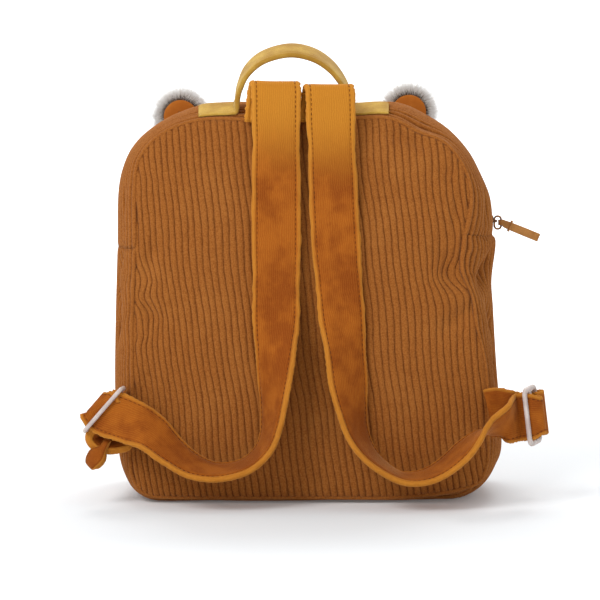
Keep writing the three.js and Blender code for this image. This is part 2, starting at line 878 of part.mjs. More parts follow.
// A round ear whose lower edge is cut straight: an outline in its own plane.
function earOutline(radius, chord, segments) {
  const start = Math.asin(-chord / radius);
  const shape = new THREE.Shape();
  for (let index = 0; index <= segments; index += 1) {
    const angle = start + (index / segments) * (Math.PI - 2 * start);
    const point = [Math.cos(angle) * radius, Math.sin(angle) * radius];
    if (index === 0) {
      shape.moveTo(...point);
    } else {
      shape.lineTo(...point);
    }
  }
  shape.closePath();
  return shape;
}

function earPad({ radius, chord, thickness, from }) {
  const pad = new THREE.ExtrudeGeometry(earOutline(radius, chord, 18), {
    depth: thickness,
    bevelEnabled: false,
  });
  pad.rotateX(Math.PI / 2);
  pad.translate(0, from + thickness, 0);
  return pad;
}

// One lock of fur is a bent four-sided spike on the ear's edge or front.
function furLock(place, direction, length) {
  const lock = new THREE.ConeGeometry(lockWidth / 2, length, 4);
  lock.translate(0, length / 2, 0);
  lock.applyQuaternion(turnFromUpright(direction));
  lock.translate(place.x, place.y, place.z);
  return lock;
}

const lockRootShare = 0.45;
const rimLocks = 14;
const rimLockDepths = [0.62, 0.76];
const rimLockCentre = 0.4;
const faceLockRise = 0.8;
const faceLockRows = readTable(
  ["radius", "count", "spread"],
  [
    [0.78, 7, 0.9],
    [0.42, 3, 0.55],
  ],
);

function earFur() {
  const start = Math.asin(-earChord / earRadius);
  const sweepAngle = Math.PI - 2 * start;
  const rootDepth = lockWidth * lockRootShare;
  const pieces = [earPad({ radius: earRadius, chord: earChord, thickness: earThickness, from: 0 })];
  for (let index = 0; index < rimLocks; index += 1) {
    const angle = start + ((index + 0.5) / rimLocks) * sweepAngle;
    const depth = rimLockDepths[index % rimLockDepths.length];
    const out = new THREE.Vector3(Math.cos(angle), depth - rimLockCentre, Math.sin(angle));
    const root = new THREE.Vector3(
      Math.cos(angle) * (earRadius - rootDepth),
      earThickness * depth,
      Math.sin(angle) * (earRadius - rootDepth),
    );
    pieces.push(furLock(root, out.normalize(), lockLength + rootDepth));
  }
  faceLockRows.forEach(({ radius, count, spread }) => {
    for (let index = 0; index < count; index += 1) {
      const angle = start + ((index + 0.5) / count) * sweepAngle;
      const out = new THREE.Vector3(
        Math.cos(angle) * spread,
        faceLockRise,
        Math.sin(angle) * spread,
      );
      const root = new THREE.Vector3(
        Math.cos(angle) * earRadius * radius,
        earThickness / 2,
        Math.sin(angle) * earRadius * radius,
      );
      pieces.push(furLock(root, out.normalize(), lockLength));
    }
  });
  return fuse(pieces);
}

// The ears stand on the front strip beside the front seam, and lean outwards.
const earLean = { left: 16, right: -16 };
const earSettle = { left: 0.43, right: 0.28 };
const earRing = frontSeamRing - 1;

function placeEar(geometry, side) {
  const sign = side === "left" ? -1 : 1;
  const x = earOffset + sign * earSpread / 2;
  const { place } = surfaceAt(earRing, archColumn(earRing, x));
  const lean = THREE.MathUtils.degToRad(earLean[side]);
  geometry.rotateY(-lean);
  const lift = earChord * Math.cos(lean) + Math.abs(Math.sin(lean)) * earRadius * earSettle[side];
  geometry.translate(place.x, place.y, place.z + lift + seatGap);
  return geometry;
}

function earVelvet() {
  return earPad({
    radius: earVelvetRadius,
    chord: earVelvetChord,
    thickness: earVelvetThickness,
    from: -earVelvetThickness - seatGap,
  });
}

// The zip's slider sits at the right end of the zip, and its pull hangs out over the side.
const zipSliderColumn = rightSeamRow * samplesPerRow - 1.3;
const zipMiddleRing = (zipFirstRing + zipLastRing) / 2;

function zipPullFrame() {
  const { place, normal } = surfaceAt(zipMiddleRing, zipSliderColumn);
  const ahead = surfaceAt(zipMiddleRing, zipSliderColumn + 0.8).place;
  const along = ahead.sub(place).normalize();
  const across = normal.clone().cross(along).normalize();
  return { place, normal, along, across };
}

function blockAt(frame, size, offset) {
  const block = new THREE.BoxGeometry(size.along, size.across, size.out);
  block.translate(offset.along, offset.across, offset.out);
  block.applyMatrix4(new THREE.Matrix4().makeBasis(frame.along, frame.across, frame.normal));
  block.translate(frame.place.x, frame.place.y, frame.place.z);
  return block;
}

const bridgeClear = pullWire + 3 * seatGap;
const bridgeBar = 1;
const bridgeWidth = 1.6;

// The zip's slider carries a small bridge, and the pull's loop hangs through it.
function zipSlider() {
  const frame = zipPullFrame();
  const rest = seatGap + zipSliderThickness / 2;
  const bridgeOut = rest + zipSliderThickness / 2 + bridgeClear / 2;
  const postHeight = bridgeClear + 2 * bridgeBar;
  const post = { along: bridgeWidth, across: bridgeBar, out: postHeight };
  const postPlace = (bridgeClear + bridgeBar) / 2;
  const plate = { along: zipSliderLength, across: zipSliderWidth, out: zipSliderThickness };
  const bar = { along: bridgeWidth, across: postHeight, out: bridgeBar };
  return fuse([
    blockAt(frame, plate, { along: 0, across: 0, out: rest }),
    blockAt(frame, post, { along: 0, across: postPlace, out: bridgeOut }),
    blockAt(frame, post, { along: 0, across: -postPlace, out: bridgeOut }),
    blockAt(frame, bar, { along: 0, across: 0, out: bridgeOut + postPlace }),
  ]);
}

// The loop hangs from the bridge, and the pull stands out from its far side.
const loopHang = 1.4;

function pullLoopFrame() {
  const frame = zipPullFrame();
  const eye = frame.place.clone().addScaledVector(
    frame.normal,
    seatGap + zipSliderThickness + bridgeClear / 2,
  );
  const drop = THREE.MathUtils.degToRad(pullDrop);
  const down = frame.along;
  const out = frame.normal;
  const middle = eye.clone()
    .addScaledVector(out, (pullLoopWidth - pullWire) / 2)
    .addScaledVector(down, loopHang);
  const away = out.clone().multiplyScalar(Math.cos(drop)).addScaledVector(down, Math.sin(drop));
  const facing = frame.across;
  return { middle, out, down, away, facing, wide: facing.clone().cross(away).normalize() };
}

function zipPullLoop() {
  const { middle, out, down } = pullLoopFrame();
  return makeLoop({
    middle,
    long: down,
    short: out,
    length: pullLoopLength - pullWire,
    width: pullLoopWidth - pullWire,
    corner: pullLoopCorner,
    diameter: pullWire,
    sides: 6,
    cornerSteps: 3,
  });
}

// The pull is one strip folded round the loop's outer run. Along and rise are shares of the fold's
// radius for the rows beside the wire, and the strip's two layers then run on side by side.
const pullFold = readTable(
  ["along", "rise"],
  [
    [0.9, 0.95],
    [-0.1, 1],
    [-1, 0],
    [-0.1, -1],
    [0.9, -0.95],
  ],
);
const pullNeck = 2.6;
const pullNeckWidth = 0.9;
const pullLayerGap = 0.4;
const pullWaistPlay = 0.9;
const pullStart = 0.5;

function zipPullTab() {
  const { middle, out, down, away, facing, wide } = pullLoopFrame();
  const wire = middle.clone().addScaledVector(out, (pullLoopWidth - pullWire) / 2);
  const wrap = pullWire / 2 + seatGap + zipPullLayer / 2;
  const flat = (zipPullLayer + pullLayerGap) / 2;
  const waist = pullLoopLength - pullWire - 2 * pullLoopCorner - pullWaistPlay;
  const station = (direction, across, along, rise, width) => ({
    place: wire.clone().addScaledVector(direction, along).addScaledVector(facing, rise),
    across: across.clone(),
    width,
    thickness: zipPullLayer,
  });
  const layer = (rise) => [
    station(away, wide, zipPullLength, rise, zipPullWidth),
    station(away, wide, zipPullLength * pullStart, rise, zipPullWidth),
    station(away, wide, wrap * pullNeck, rise, zipPullWidth * pullNeckWidth),
  ];
  const fold = pullFold.map(({ along, rise }) => station(out, down, along * wrap, rise * wrap, waist));
  return makeBand([...layer(flat), ...fold, ...layer(-flat).reverse()], 2);
}

// A narrow keeper holds the two layers of the pull together beside the loop.
function zipPullKeeper() {
  const { middle, out, away, facing, wide } = pullLoopFrame();
  const place = middle.clone()
    .addScaledVector(out, (pullLoopWidth - pullWire) / 2)
    .addScaledVector(away, zipPullLength * keeperPlace);
  return makeLoop({
    middle: place,
    long: wide,
    short: facing,
    length: zipPullWidth + 2 * seatGap + keeperThickness,
    width: 2 * zipPullLayer + pullLayerGap + 2 * seatGap + keeperThickness + keeperPlay,
    corner: keeperThickness,
    diameter: keeperThickness,
    sides: 6,
    cornerSteps: 2,
  });
}

// The loose end of the left strap hangs below its slider.
const tailRows = readTable(
  ["across", "up", "stand", "lean", "turn", "width", "thickness"],
  [
    [-1.02, 0.168, 0.31, 0, 20, 0.3, 0.5],
    [-1.055, 0.132, 0.33, -16, 20, 0.42, 0.9],
    [-1.085, 0.115, 0.3, -34, 24, 0.44, 1.1],
    [-1.11, 0.1, 0.28, -40, 30, 0.3, 0.7],
  ],
);

function strapTail() {
  return makeBand(tailRows.map((row) => ({
    place: new THREE.Vector3(
      row.across * halfWidth,
      backY - row.stand * strapWidth,
      row.up * bodyHeight,
    ),
    across: acrossFrom(row.lean, row.turn),
    width: row.width * strapWidth,
    thickness: row.thickness * strapThickness,
  })), 2);
}

const materials = {
  corduroy: { color: 0xa5642a, roughness: 0.92, metalness: 0 },
  velvet: { color: 0xcf8425, roughness: 0.85, metalness: 0 },
  mustard: { color: 0xd0a84b, roughness: 0.9, metalness: 0 },
  fur: { color: 0xcfcac5, roughness: 0.95, metalness: 0 },
  earVelvet: { color: 0xbe6a1e, roughness: 0.85, metalness: 0 },
  plastic: { color: 0xc8bcb6, roughness: 0.45, metalness: 0 },
  zipTape: { color: 0x9a5a26, roughness: 0.7, metalness: 0 },
  bronze: { color: 0x8a5a30, roughness: 0.4, metalness: 0.8 },
  ribbon: { color: 0xbd8a45, roughness: 0.8, metalness: 0 },
};

const backpack = new THREE.Group();

function addPiece(parent, name, geometry, material) {
  const flat = geometry.index ? geometry.toNonIndexed() : geometry;
  flat.deleteAttribute("uv");
  flat.computeVertexNormals();
  const mesh = new THREE.Mesh(flat, new THREE.MeshStandardMaterial(materials[material]));
  mesh.name = name;
  parent.add(mesh);
}

function ringsBetween(first, last) {
  return Array.from({ length: last - first + 1 }, (_, index) => first + index);
}

const archStart = leftSeamRow * samplesPerRow;
const archEnd = rightSeamRow * samplesPerRow;

const body = new THREE.Group();
backpack.add(body);
addPiece(body, "back_panel", clothPatch({
  rings: ringsBetween(0, backSeamRing),
  pole: "start",
}), "corduroy");
addPiece(body, "front_panel", clothPatch({
  rings: ringsBetween(frontSeamRing, ringCount - 1),
  pole: "end",
}), "corduroy");
addPiece(body, "lower_gusset", clothPatch({
  rings: ringsBetween(backSeamRing, frontSeamRing),
  from: archEnd,
  to: archStart + columns,
}), "corduroy");
addPiece(body, "zip_gusset_back", clothPatch({
  rings: ringsBetween(backSeamRing, zipFirstRing),
  from: archStart,
  to: archEnd,
}), "corduroy");
addPiece(body, "zip_gusset_front", clothPatch({
  rings: ringsBetween(zipLastRing, frontSeamRing),
  from: archStart,
  to: archEnd,
}), "corduroy");
addPiece(body, "zip", clothPatch({
  rings: ringsBetween(zipFirstRing, zipLastRing),
  from: archStart,
  to: archEnd,
}), "zipTape");

const closure = new THREE.Group();
backpack.add(closure);
addPiece(closure, "zip_slider", zipSlider(), "bronze");
addPiece(closure, "zip_pull_loop", zipPullLoop(), "bronze");
addPiece(closure, "zip_pull_tab", zipPullTab(), "ribbon");
addPiece(closure, "zip_pull_keeper", zipPullKeeper(), "ribbon");

const straps = new THREE.Group();
backpack.add(straps);
addPiece(straps, "carry_handle", carryHandle(), "mustard");
for (const side of ["left", "right"]) {
  addPiece(straps, `shoulder_strap_${side}`, shoulderStrap(side), "velvet");
  addPiece(straps, `adjuster_strap_${side}`, adjusterStrap(side), "velvet");
  addPiece(straps, `slider_${side}`, strapSlider(side), "plastic");
}

addPiece(straps, "strap_tail_left", strapTail(), "velvet");

const ears = new THREE.Group();
backpack.add(ears);
for (const side of ["left", "right"]) {
  addPiece(ears, `ear_fur_${side}`, placeEar(earFur(), side), "fur");
  addPiece(ears, `ear_velvet_${side}`, placeEar(earVelvet(), side), "earVelvet");
}

export default backpack;
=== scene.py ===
"""Looks of a child's animal backpack: corduroy body, velvet straps, furry ears and an arched zip.

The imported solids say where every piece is. Each class below holds the sizes of one part of the
bag, builds its meshes in metres and dresses them. The strap side faces -Y, and +Z is up.
"""

from __future__ import annotations

import logging
import math
from dataclasses import dataclass
from enum import Enum
from typing import Any, Mapping, Sequence

import bpy
import numpy as np
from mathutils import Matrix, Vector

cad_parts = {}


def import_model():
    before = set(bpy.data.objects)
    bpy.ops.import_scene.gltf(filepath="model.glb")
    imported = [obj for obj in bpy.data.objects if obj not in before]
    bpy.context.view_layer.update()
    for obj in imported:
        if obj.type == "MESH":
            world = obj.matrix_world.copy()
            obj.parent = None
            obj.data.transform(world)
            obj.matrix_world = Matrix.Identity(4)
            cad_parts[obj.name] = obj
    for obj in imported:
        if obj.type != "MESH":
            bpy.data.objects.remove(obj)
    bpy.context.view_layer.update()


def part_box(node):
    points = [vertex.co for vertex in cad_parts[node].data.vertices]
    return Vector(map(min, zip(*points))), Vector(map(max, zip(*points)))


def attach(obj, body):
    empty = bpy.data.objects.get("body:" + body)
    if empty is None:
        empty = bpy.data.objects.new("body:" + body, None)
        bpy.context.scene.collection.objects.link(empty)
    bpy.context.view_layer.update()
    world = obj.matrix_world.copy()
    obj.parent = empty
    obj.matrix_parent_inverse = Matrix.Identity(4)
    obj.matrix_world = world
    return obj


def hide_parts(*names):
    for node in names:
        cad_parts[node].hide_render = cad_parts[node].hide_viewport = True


LOG = logging.getLogger("backpack")
BODY = "root"
UP = np.array([0.0, 0.0, 1.0])
Array = np.ndarray
Material = bpy.types.Material
Piece = bpy.types.Object
Socket = bpy.types.NodeSocket
Pair = tuple[float, float]
Triple = tuple[float, float, float]
Colour = Triple
Solid = tuple[Array, list[list[int]]]


class Side(Enum):
    """The two sides of the bag, as the strap side shows them."""

    LEFT = "left"
    RIGHT = "right"

    @property
    def sign(self) -> int:
        """The side's direction along X."""
        return -1 if self is Side.LEFT else 1


def linear(colour: Colour) -> tuple[float, float, float, float]:
    """Turns a display colour into the values that a shader takes.

    Args:
        colour: Red, green and blue from 0 to 255.

    Returns:
        Linear red, green and blue, and an alpha of 1.
    """
    shares = [value / 255 for value in colour]
    plain = [s / 12.92 if s <= 0.04045 else ((s + 0.055) / 1.055) ** 2.4 for s in shares]
    return plain[0], plain[1], plain[2], 1.0


class Value:
    """An output of a shader node that takes part in Python sums."""

    def __init__(self, shader: Shader, socket: Socket) -> None:
        """Keeps the socket and the shader that it belongs to."""
        self.shader = shader
        self.socket = socket

    def _sum(self, operation: str, first: Any, second: Any) -> Value:
        """Adds one Math node."""
        return self.shader.add("ShaderNodeMath", {"operation": operation}, {0: first, 1: second})

    def __add__(self, other: Any) -> Value:
        """The sum of two values."""
        return self._sum("ADD", self, other)

    __radd__ = __add__

    def __sub__(self, other: Any) -> Value:
        """This value less another."""
        return self._sum("SUBTRACT", self, other)

    def __rsub__(self, other: Any) -> Value:
        """Another value less this one."""
        return self._sum("SUBTRACT", other, self)

    def __mul__(self, other: Any) -> Value:
        """The product of two values."""
        return self._sum("MULTIPLY", self, other)

    __rmul__ = __mul__

    def __abs__(self) -> Value:
        """This value without its sign."""
        return self._sum("ABSOLUTE", self, 0.0)


class Shader:
    """One procedural material while its nodes are being laid down."""

    def __init__(self, name: str) -> None:
        """Starts a material that holds only its output and its main shader.

        Args:
            name: The material's name.
        """
        self.material = bpy.data.materials.new(name)
        self.material.use_nodes = True
        self.tree = self.material.node_tree
        self.surface = next(n for n in self.tree.nodes if n.type == "BSDF_PRINCIPLED")

    def set_socket(self, socket: Socket, value: Any) -> None:
        """Links a value to a socket, or sets the socket's own number or colour."""
        if isinstance(value, Value):
            self.tree.links.new(value.socket, socket)
        else:
            socket.default_value = value

    def add(
        self,
        kind: str,
        settings: Mapping[str, Any] | None = None,
        inputs: Mapping[int | str, Any] | None = None,
        output: int | str = 0,
    ) -> Value:
        """Adds one node.

        Args:
            kind: The node's type.
            settings: Settings made before its sockets, such as an operation or a ramp's stops.
            inputs: Values or links by socket name or number.
            output: The socket that the result stands for.

        Returns:
            The chosen output.
        """
        node = self.tree.nodes.new(kind)
        for key, value in (settings or {}).items():
            if key == "stops":
                ramp = node.color_ramp.elements
                while len(ramp) < len(value):
                    ramp.new(0.5)
                for element, (place, colour) in zip(ramp, value):
                    element.position = place
                    element.color = colour
            else:
                setattr(node, key, value)
        for key, value in (inputs or {}).items():
            self.set_socket(node.inputs[key], value)
        return Value(self, node.outputs[output])

    def mix(self, factor: Any, first: Any, second: Any) -> Value:
        """Mixes two colours, where the factor is the second one's share."""
        settings = {"data_type": "RGBA", "clamp_factor": True}
        return self.add("ShaderNodeMix", settings, {0: factor, 6: first, 7: second}, 2)

    def noise(self, scale: float, detail: float = 2.0, stretch: Sequence[float] = (1, 1, 1)) -> Value:
        """A noise in the object's own space.

        Args:
            scale: Features in each metre.
            detail: How many finer layers it has.
            stretch: The scale along each axis.

        Returns:
            A value of about 0.3 to 0.7.
        """
        place = self.add("ShaderNodeTexCoord", output="Object")
        moved = self.add("ShaderNodeMapping", {}, {"Vector": place, "Scale": tuple(stretch)})
        inputs = {"Vector": moved, "Scale": scale, "Detail": detail, "Roughness": 0.55}
        return self.add("ShaderNodeTexNoise", {}, inputs)

    def attribute(self, name: str) -> Value:
        """A number that the mesh carries at its points."""
        return self.add("ShaderNodeAttribute", {"attribute_name": name}, output="Fac")

    def fade(self, value: Any, start: float, end: float) -> Value:
        """A smooth step of a value from 0 at start to 1 at end."""
        settings = {"interpolation_type": "SMOOTHSTEP"}
        inputs = {"Value": value, "From Min": start, "From Max": end}
        return self.add("ShaderNodeMapRange", settings, inputs)

    def tint(self, value: Value, start: float, end: float, low: Colour, high: Colour) -> Value:
        """Mixes two display colours as a value rises from start to end."""
        return self.mix(self.fade(value, start, end), linear(low), linear(high))

    def bump(self, height: Value, distance: float, strength: float = 1.0) -> Value:
        """Turns a height into a normal."""
        inputs = {"Height": height, "Distance": distance, "Strength": strength}
        return self.add("ShaderNodeBump", {}, inputs)

    def finish(self, sockets: Mapping[str, Any]) -> Material:
        """Sets the main shader's sockets and returns the material."""
        for name, value in sockets.items():
            self.set_socket(self.surface.inputs[name], value)
        return self.material


@dataclass(frozen=True)
class Corduroy:
    """Cotton corduroy with painted shade between its wales, and paler where it is rubbed."""

    name: str
    ridge: Colour
    # The groove colour is painted shade: the darker colour of the hollows between the wales.
    groove_shade: Colour
    rubbed: Colour
    fuzz: float = 1500.0

    def material(self) -> Material:
        """Builds the cloth's material from the wale height that its mesh carries."""
        shader = Shader(self.name)
        wale = shader.attribute("wale")
        cloud = shader.noise(26, 3)
        worn = shader.noise(160, 3, (1, 1, 0.3))
        tuft = shader.noise(880, 3)
        pile = shader.noise(self.fuzz, 3)
        # Painted shade: the colour darkens from the ridge colour to the groove colour towards each
        # hollow between wales, by the wale height that the mesh carries.
        high = shader.fade(wale + (worn - 0.5) * 0.6, 0.0, 0.85)
        base = shader.mix(high, linear(self.groove_shade), linear(self.ridge))
        base = shader.mix(shader.fade(cloud, 0.42, 0.78) * high * 0.35, base, linear(self.rubbed))
        speck = shader.tint(pile * 0.5 + tuft * 0.5, 0.38, 0.62, self.groove_shade, self.rubbed)
        base = shader.mix(0.34, base, speck)
        return shader.finish({
            "Base Color": base,
            "Roughness": 0.95,
            "Normal": shader.bump(pile + tuft, 0.0007, 0.6),
            "Sheen Weight": 0.16,
            "Sheen Roughness": 0.45,
            "Sheen Tint": (1.0, 0.76, 0.5, 1.0),
            "Specular IOR Level": 0.1,
        })


@dataclass(frozen=True)
class Velvet:
    """Short-pile velvet whose nap is brushed light and dark, with a painted sheen along its edges and
    a painted highlight where the strap folds over the top.
    """

    name: str
    deep: Colour
    main: Colour
    # The edge colour is a painted sheen and the top colour a painted highlight.
    edge: Colour
    top: Colour
    edge_sheen_start: float = 0.78
    nap_scale: float = 34.0
    ribs: float = 75.0
    top_highlight: float = 0.9

    def material(self) -> Material:
        """Builds the velvet's material from the place across the band that its mesh carries."""
        shader = Shader(self.name)
        signed = shader.attribute("across")
        across = abs(signed)
        along = shader.attribute("along")
        nap = shader.noise(self.nap_scale, 3, (1, 1, 0.6))
        pile = shader.noise(1500, 2)
        wander = shader.noise(90, 2)
        knit = shader.add(
            "ShaderNodeMath",
            {"operation": "SINE"},
            {0: signed * self.ribs + (wander - 0.5) * 16.0},
        ) * 0.5 + 0.5
        knit = knit * 0.35 + pile * 0.65
        brush = shader.noise(self.nap_scale * 3.2, 2)
        nap = nap * 0.65 + brush * 0.35
        base = shader.tint(nap, 0.4, 0.62, self.deep, self.main)
        # Painted highlight: the first few centimetres of the band, where the strap folds over the top
        # and faces up, lighten to the top colour.
        top = 1 - shader.fade(along + (nap - 0.5) * 0.03, 0.045, 0.105)
        base = shader.mix(top * self.top_highlight, base, linear(self.top))
        # Painted sheen: the band lightens to the edge colour towards both of its edges, as pile seen
        # side-on.
        glow = shader.fade(across + (wander - 0.5) * 0.12, self.edge_sheen_start, 0.94)
        base = shader.mix(glow * 0.62, base, linear(self.edge))
        base = shader.mix(0.15, base, shader.tint(knit, 0.3, 0.75, self.deep, self.edge))
        return shader.finish({
            "Base Color": base,
            "Roughness": 0.9,
            "Normal": shader.bump(knit, 0.0005, 0.5),
            "Sheen Weight": 0.28,
            "Sheen Roughness": 0.35,
            "Sheen Tint": (1.0, 0.66, 0.3, 1.0),
            "Specular IOR Level": 0.1,
        })


@dataclass(frozen=True)
class FineCord:
    """Fine needle cord or felted cloth with a short nap."""

    name: str
    main: Colour
    shade: Colour
    ribs: float = 1100.0

    def material(self) -> Material:
        """Builds the cloth's material."""
        shader = Shader(self.name)
        cloud = shader.noise(60, 3)
        nap = shader.noise(1700, 3)
        ribs = shader.noise(self.ribs, 1, (1, 0.2, 1))
        base = shader.tint(cloud, 0.35, 0.75, self.shade, self.main)
        dull = shader.fade(nap * 0.6 + ribs * 0.4, 0.4, 0.62)
        base = shader.mix((1 - dull) * 0.35, base, linear(self.shade))
        return shader.finish({
            "Base Color": base,
            "Roughness": 0.93,
            "Normal": shader.bump(nap + ribs, 0.0004, 0.5),
            "Sheen Weight": 0.25,
            "Sheen Roughness": 0.4,
            "Sheen Tint": (1.0, 0.9, 0.6, 1.0),
            "Specular IOR Level": 0.15,
        })


@dataclass(frozen=True)
class LongFur:
    """Long pile whose hairs are dark at the root, partly painted shade, and pale at the tip."""

    name: str
    root: Colour
    middle: Colour
    tip: Colour

    def material(self) -> Material:
        """Builds the fur's material from how far along its hair each point is."""
        shader = Shader(self.name)
        along = shader.attribute("tip")
        tone = shader.attribute("tone")
        # The dark roots are partly the fur's brown and partly painted shade deep among the dense
        # hairs.
        base = shader.add(
            "ShaderNodeValToRGB",
            {"stops": [
                (0.02, linear(self.root)),
                (0.2, linear(self.middle)),
                (0.45, linear(self.tip)),
            ]},
            {"Fac": along + (tone - 0.5) * 0.35},
        )
        return shader.finish({
            "Base Color": base,
            "Roughness": 0.75,
            "Sheen Weight": 0.3,
            "Sheen Roughness": 0.3,
            "Specular IOR Level": 0.3,
        })


@dataclass(frozen=True)
class Moulded:
    """Injection-moulded plastic with a satin skin and slight flow marks."""

    name: str
    main: Colour
    shade: Colour

    def material(self) -> Material:
        """Builds the plastic's material."""
        shader = Shader(self.name)
        cloud = shader.noise(90, 2)
        grain = shader.noise(2400, 2)
        base = shader.tint(cloud, 0.35, 0.7, self.shade, self.main)
        return shader.finish({
            "Base Color": base,
            "Roughness": 0.36 + cloud * 0.16,
            "Normal": shader.bump(grain, 0.0001, 0.12),
            "Subsurface Weight": 0.06,
            "Subsurface Scale": 0.004,
            "Specular IOR Level": 0.5,
        })


@dataclass(frozen=True)
class AgedMetal:
    """Plated metal, browned in some patches and worn bright in others."""

    name: str
    main: Colour
    dark: Colour

    def material(self) -> Material:
        """Builds the metal's material."""
        shader = Shader(self.name)
        cloud = shader.noise(420, 3)
        worn = shader.fade(cloud, 0.38, 0.66)
        return shader.finish({
            "Base Color": shader.mix(worn, linear(self.dark), linear(self.main)),
            "Metallic": 0.75,
            "Roughness": 0.52 - worn * 0.16,
            "Normal": shader.bump(cloud, 0.0001, 0.2),
        })


@dataclass(frozen=True)
class Thread:
    """Twisted sewing thread."""

    name: str
    main: Colour
    shade: Colour

    def material(self) -> Material:
        """Builds the thread's material."""
        shader = Shader(self.name)
        twist = shader.noise(3200, 1)
        base = shader.tint(twist, 0.4, 0.6, self.shade, self.main)
        return shader.finish({
            "Base Color": base,
            "Roughness": 0.7,
            "Normal": shader.bump(twist, 0.0001, 0.3),
            "Specular IOR Level": 0.15,
        })


@dataclass(frozen=True)
class StudioPaper:
    """The plain pale floor and backdrop, which glow a little more with distance."""

    name: str = "studio_paper"
    low: Colour = (0.765, 0.79, 0.808)
    high: Colour = (0.775, 0.8, 0.818)
    near_glow: float = 0.075
    far_glow: float = 0.55
    reach: Pair = (0.15, 1.0)

    def material(self) -> Material:
        """Builds a plain matt paper."""
        shader = Shader(self.name)
        fibre = shader.noise(160, 2)
        place = shader.add("ShaderNodeTexCoord", output="Object")
        depth = shader.add("ShaderNodeSeparateXYZ", {}, {0: place}, "Y")
        near, far = ((glow, glow, glow, 1.0) for glow in (self.near_glow, self.far_glow))
        return shader.finish({
            "Base Color": shader.mix(fibre, (*self.low, 1.0), (*self.high, 1.0)),
            "Roughness": 1.0,
            "Specular IOR Level": 0.0,
            "Emission Color": shader.mix(shader.fade(abs(depth), *self.reach), near, far),
            "Emission Strength": 1.0,
        })


def along_rows(rows: Array, places: Array, closed: bool = False) -> Array:
    """Smooth values through the rows of a table.

    Args:
        rows: One row of numbers for each place of the table.
        places: Row numbers, with fractions between two rows.
        closed: Whether the last row is followed by the first.

    Returns:
        One row of numbers for each place.
    """
    count = len(rows)
    index = np.floor(places).astype(int)
    if not closed:
        index = np.clip(index, 0, count - 2)
    share = (places - index)[:, None]

    def row(step: int) -> Array:
        """The table's rows some steps on."""
        picked = (index + step) % count if closed else np.clip(index + step, 0, count - 1)
        return rows[picked]

    before, start, end, after = row(-1), row(0), row(1), row(2)
    return (
        start
        + 0.5 * share * (end - before)
        + share**2 * (before - 2.5 * start + 2 * end - 0.5 * after)
        + share**3 * (1.5 * start - 1.5 * end + 0.5 * after - 0.5 * before)
    )


def unit(vectors: Array) -> Array:
    """Vectors of length 1 in the same directions."""
    return vectors / np.maximum(np.linalg.norm(vectors, axis=-1, keepdims=True), 1e-12)


def smooth(value: Array | float, start: float, end: float) -> Array:
    """A smooth step from 0 at start to 1 at end."""
    share = np.clip((np.asarray(value, float) - start) / (end - start), 0, 1)
    return share * share * (3 - 2 * share)


def running(steps: Array) -> Array:
    """The distance along a line at each of its points, from the length of each step."""
    return np.concatenate([[0], np.cumsum(steps)])


def grid_faces(columns: int, rows: int, closed: bool = False) -> Array:
    """The quads of a grid whose points are numbered column by column.

    Args:
        columns: How many columns of points there are.
        rows: How many points a column has.
        closed: Whether each column closes on itself.

    Returns:
        Four point numbers for each quad.
    """
    across = rows if closed else rows - 1
    column, row = np.meshgrid(np.arange(columns - 1), np.arange(across), indexing="ij")
    here = column * rows + row
    above = column * rows + (row + 1) % rows
    return np.stack([here, here + rows, above + rows, above], axis=-1).reshape(-1, 4)


def grid_normals(points: Array) -> Array:
    """Unit normals of a grid, for faces laid down as grid_faces does."""
    along = np.gradient(points, axis=0)
    across = np.gradient(points, axis=1)
    return unit(np.cross(along, across))


def place_object(name: str, data: Any) -> Piece:
    """Adds an object with the given mesh, light or camera to the scene."""
    piece = bpy.data.objects.new(name, data)
    bpy.context.scene.collection.objects.link(piece)
    return piece


def carry(mesh: bpy.types.Mesh, name: str, values: Array) -> None:
    """Gives each point of a mesh one number, or one direction if the values come in threes."""
    values = np.asarray(values, np.float32)
    kind, part = ("FLOAT_VECTOR", "vector") if values.ndim == 2 else ("FLOAT", "value")
    mesh.attributes.new(name, kind, "POINT").data.foreach_set(part, values.ravel())


def make_object(
    name: str,
    points: Array,
    faces: Sequence[Sequence[int]],
    numbers: Mapping[str, Array] | None = None,
) -> Piece:
    """Makes a smoothly shaded mesh object.

    Args:
        name: The piece's name.
        points: One place in metres for each point.
        faces: Point numbers of each face.
        numbers: Values that the points carry, by name.

    Returns:
        The object, linked to the scene.
    """
    mesh = bpy.data.meshes.new(name)
    mesh.from_pydata(points.tolist(), [], [list(map(int, face)) for face in faces])
    for key, values in (numbers or {}).items():
        carry(mesh, key, np.ravel(values))
    mesh.shade_smooth()
    mesh.update()
    return place_object(name, mesh)


def make_shell(
    name: str,
    outer: Array,
    inner: Array,
    faces: Array,
    wale: Array,
) -> Piece:
    """Makes a closed piece of cloth from its outer and inner points.

    Args:
        name: The piece's name.
        outer: A grid or list of points of the side that shows.
        inner: As many points of the other side.
        faces: Quads of the outer side.
        wale: The wale height that each outer point carries, from 0 to 1.

    Returns:
        The object, with a rim along every open edge.
    """
    outer, inner, wale = outer.reshape(-1, 3), inner.reshape(-1, 3), wale.ravel()
    used = np.unique(faces)
    renumber = np.full(len(outer), -1)
    renumber[used] = np.arange(len(used))
    faces = renumber[faces]
    outer, inner, wale = outer[used], inner[used], wale[used]
    count = len(outer)
    edges = np.concatenate([np.stack([faces[:, i], faces[:, (i + 1) % 4]], 1) for i in range(4)])
    code = edges[:, 0] * count + edges[:, 1]
    back = edges[:, 1] * count + edges[:, 0]
    rim = edges[~np.isin(code, back)]
    sides = np.stack([rim[:, 1], rim[:, 0], rim[:, 0] + count, rim[:, 1] + count], 1)
    every = np.concatenate([faces, faces[:, ::-1] + count, sides])
    points = np.concatenate([outer, inner])
    return make_object(name, points, every, {"wale": np.concatenate([wale, wale * 0.5])})


